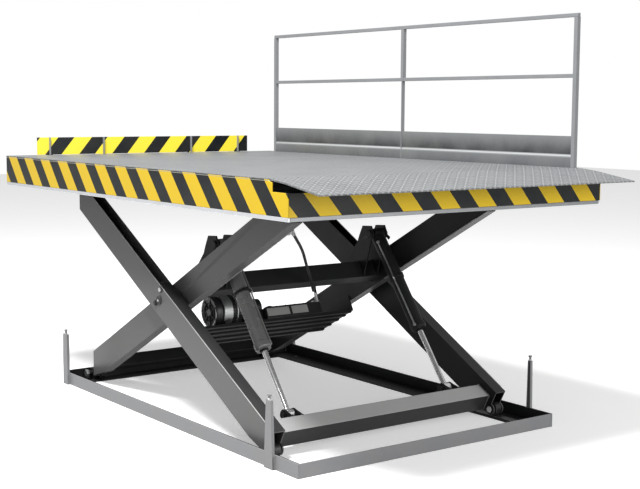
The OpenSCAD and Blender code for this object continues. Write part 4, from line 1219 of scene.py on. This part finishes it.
@dataclass
class Cylinder(Part):
    """One hydraulic cylinder with its clamp ring, gland, pipe and ports."""

    side: int
    barrel_len: float = 0.810
    barrel_r: float = 0.050
    rod_r: float = 0.019
    clamp_at: float = 0.372
    clamp: Pairs = ((0, 0.0003), (0, 0.006), (0.002, 0.007), (0.018, 0.007), (0.020, 0.006), (0.020, 0.0003))
    ear_low: Point = (0.002, -0.012, 0.0)
    ear_high: Point = (0.018, 0.012, 0.022)
    gland_back: float = 0.052
    gland: Pairs = ((0, 0.0003), (0, 0.004), (0.003, 0.006), (0.036, 0.006), (0.040, 0.002), (0.044, 0.0003))
    wiper_gap: float = 0.0006
    wiper_r: float = 0.030
    pipe_r: float = 0.0055
    pipe_turn: float = math.radians(30)
    port: Stud = Stud(0.012, 0.014, 0.016, 0.010, 6)
    port_r: float = 0.048
    ports: tuple[float, float] = (0.086, 0.778)
    pipe_places: Pairs = (
        (0.085, 0.047), (0.088, 0.056), (0.105, 0.0585), (0.20, 0.0575), (0.35, 0.0585), (0.372, 0.0645),
        (0.392, 0.0645), (0.415, 0.0585), (0.55, 0.0575), (0.72, 0.0575), (0.760, 0.060), (0.775, 0.058),
        (0.778, 0.050))

    def dress(self) -> None:
        """Finishes the barrel and rod and adds the clamp, gland and pipe."""
        # Painted shade: the right barrel and its gland get the dark enamel where the left ones get the barrel
        # enamel, as the right cylinder stands in shade.
        name, paint = ("left", "barrel_enamel") if self.side < 0 else ("right", "shade_enamel")
        self.soften("barrel_" + name, paint, 0.003)
        self.soften("rod_" + name, "hard_chrome", 0.002)
        self.rings(name, paint)
        self.pipe(name)

    def rings(self, name: str, paint: str) -> None:
        """Turns the thin clamp ring, the gland's collar and the wiper, all round the cylinder's axis."""
        bench, r, body = self.lift.cylinder(self.side), self.barrel_r, "cylinder_" + name
        way, at = bench.way(1, 0, 0), bench.at(self.clamp_at, 0, 0)
        clamp = lathe([(a, r + over) for a, over in self.clamp], at, way, 56, True)
        (u0, y0, n0), (u1, y1, n1) = self.ear_low, self.ear_high
        ear = Bench(tuple(at), bench.turn).block((u0, y0, r + n0), (u1, y1, r + n1))
        self.add("barrel_clamp_" + name, [clamp, ear], "shade_enamel", body, 0.0006)
        at = bench.at(self.barrel_len - self.gland_back, 0, 0)
        gland = lathe([(a, r + over) for a, over in self.gland], at, way, 56, True)
        self.add("barrel_gland_" + name, [gland], paint, body)
        bore, wide = self.rod_r + self.wiper_gap, self.wiper_r
        wiper = lathe([(0, bore), (0, wide), (0.008, wide), (0.011, bore)],
                      bench.at(self.barrel_len, 0, 0), way, 40, True)
        self.add("rod_wiper_" + name, [wiper], "hose_rubber_finish", body)

    def pipe(self, name: str) -> None:
        """Bends the return pipe along the barrel's inward side, from a port near its head to the gland."""
        bench, inward = self.lift.cylinder(self.side), -self.side
        c, s = math.cos(self.pipe_turn), math.sin(self.pipe_turn)
        path = smooth_path([tuple(bench.at(a, inward * r * c, r * s)) for a, r in self.pipe_places], 7)
        bits, out = [tube(path, self.pipe_r, 12)], bench.way(0, inward * c, s)
        bits += [self.port.shape(bench.at(a, inward * self.port_r * c, self.port_r * s), out)
                 for a in self.ports]
        self.add("barrel_pipe_" + name, bits, "zinc_plate", "cylinder_" + name)


@dataclass
class Studio:
    """The camera at the photograph's place, the white studio and its soft lights."""

    place: Point = (7.4773, -5.1056, 2.127)
    yaw: float = math.radians(53.68)
    dip: float = math.radians(6.24)
    roll: float = math.radians(0.33)
    lens: float = 70.48
    fill: float = 0.45
    glow: float = 0.35
    bounce: str = "8A8A8A"
    pale: str = "EDEDED"
    white: str = "FFFFFF"
    half: float = 30.0
    target: Point = (0.0, 0.0, 1.0)
    lights: tuple[tuple[str, Point, float, float], ...] = (
        ("key_light", (1.5, -4.8, 11.0), 2.6, 2300.0), ("front_light", (9.5, 1.5, 3.2), 4.0, 380.0))

    def camera(self) -> None:
        """Sets the camera: its back is (sin yaw cos dip, -cos yaw cos dip, sin dip), then it rolls."""
        back = Vector((math.sin(self.yaw) * math.cos(self.dip), -math.cos(self.yaw) * math.cos(self.dip),
                       math.sin(self.dip)))
        right = (-back).cross(Vector(UP)).normalized()
        up = right.cross(-back)
        c, s = math.cos(self.roll), math.sin(self.roll)
        turned = Matrix((right * c + up * s, up * c - right * s, back)).transposed().to_4x4()
        data = bpy.data.cameras.new("camera")
        data.sensor_width, data.lens, data.sensor_fit = 36.0, self.lens, "HORIZONTAL"
        data.clip_end = 200.0
        made = bpy.data.objects.new("camera", data)
        made.matrix_world = Matrix.Translation(self.place) @ turned
        bpy.context.scene.collection.objects.link(made)
        bpy.context.scene.camera = made

    def sheet(self, name: str, corners: list[Point], glow: float) -> None:
        """Lays one plain white sheet of the studio.

        Args:
            name: its name.
            corners: its four corners, in metres.
            glow: how much light it gives itself.
        """
        mesh = bpy.data.meshes.new(name)
        mesh.from_pydata(corners, [], [(0, 1, 2, 3)])
        made = bpy.data.objects.new(name, mesh)
        coat = Coat(name + "_finish")
        feed(coat.tree, coat.shader, {"Base Color": srgb(self.pale), "Roughness": 0.9,
                                      "Emission Color": srgb(self.white), "Emission Strength": glow})
        rays = coat.add("LightPath", {}, "Is Diffuse Ray")
        dull = coat.add("BsdfDiffuse", {"Color": srgb(self.bounce)})
        mix = coat.add("MixShader", {0: rays, 1: coat.shader.outputs["BSDF"], 2: dull})
        feed(coat.tree, coat.output, {"Surface": mix})
        mesh.materials.append(coat.material)
        bpy.context.scene.collection.objects.link(made)

    def light(self, name: str, place: Point, size: float, power: float) -> None:
        """Hangs a square soft light that faces the lift.

        Args:
            name: its name.
            place: where it hangs, in metres.
            size: its side, in metres.
            power: its power, in watts.
        """
        data = bpy.data.lights.new(name, "AREA")
        data.shape, data.size, data.energy = "SQUARE", size, power
        made = bpy.data.objects.new(name, data)
        way = Vector(self.target) - Vector(place)
        made.location = place
        made.rotation_euler = way.to_track_quat("-Z", "Y").to_euler()
        bpy.context.scene.collection.objects.link(made)

    def surround(self) -> None:
        """Makes the surround white to the camera and dimmer to the lift's surfaces."""
        world = bpy.data.worlds.new("surround")
        world.use_nodes = True
        tree = world.node_tree
        seen = tree.nodes["Background"]
        feed(tree, seen, {"Color": srgb(self.white)})
        rays = add_node(tree, "LightPath")
        fill = add_node(tree, "Background", {"Color": srgb(self.white), "Strength": self.fill})
        mix = add_node(tree, "MixShader", {0: rays.outputs["Is Camera Ray"], 1: fill.outputs[0],
                                           2: seen.outputs[0]})
        feed(tree, tree.nodes["World Output"], {"Surface": mix.outputs[0]})
        bpy.context.scene.world = world

    def build(self) -> None:
        """Sets the camera, the floor, the lights and the surround."""
        self.camera()
        far = self.half
        self.sheet("floor", [(-far, -far, 0), (far, -far, 0), (far, far, 0), (-far, far, 0)], self.glow)
        for light in self.lights:
            self.light(*light)
        self.surround()
        bpy.context.scene.view_settings.view_transform = "Standard"


def main() -> None:
    """Builds the lift's parts in order and keeps its size."""
    logging.basicConfig(level=logging.INFO, format="%(name)s %(message)s")
    lift, paintshop = Lift(), Paintshop()
    Studio().build()
    for part in (Base, Scissor, PowerUnit, Platform, Railing, Lip, RearStop):
        part(lift, paintshop).dress()
    for side, _ in SIDES:
        Cylinder(lift, paintshop, side).dress()
    bpy.context.view_layer.update()


if __name__ == "__main__":
    main()
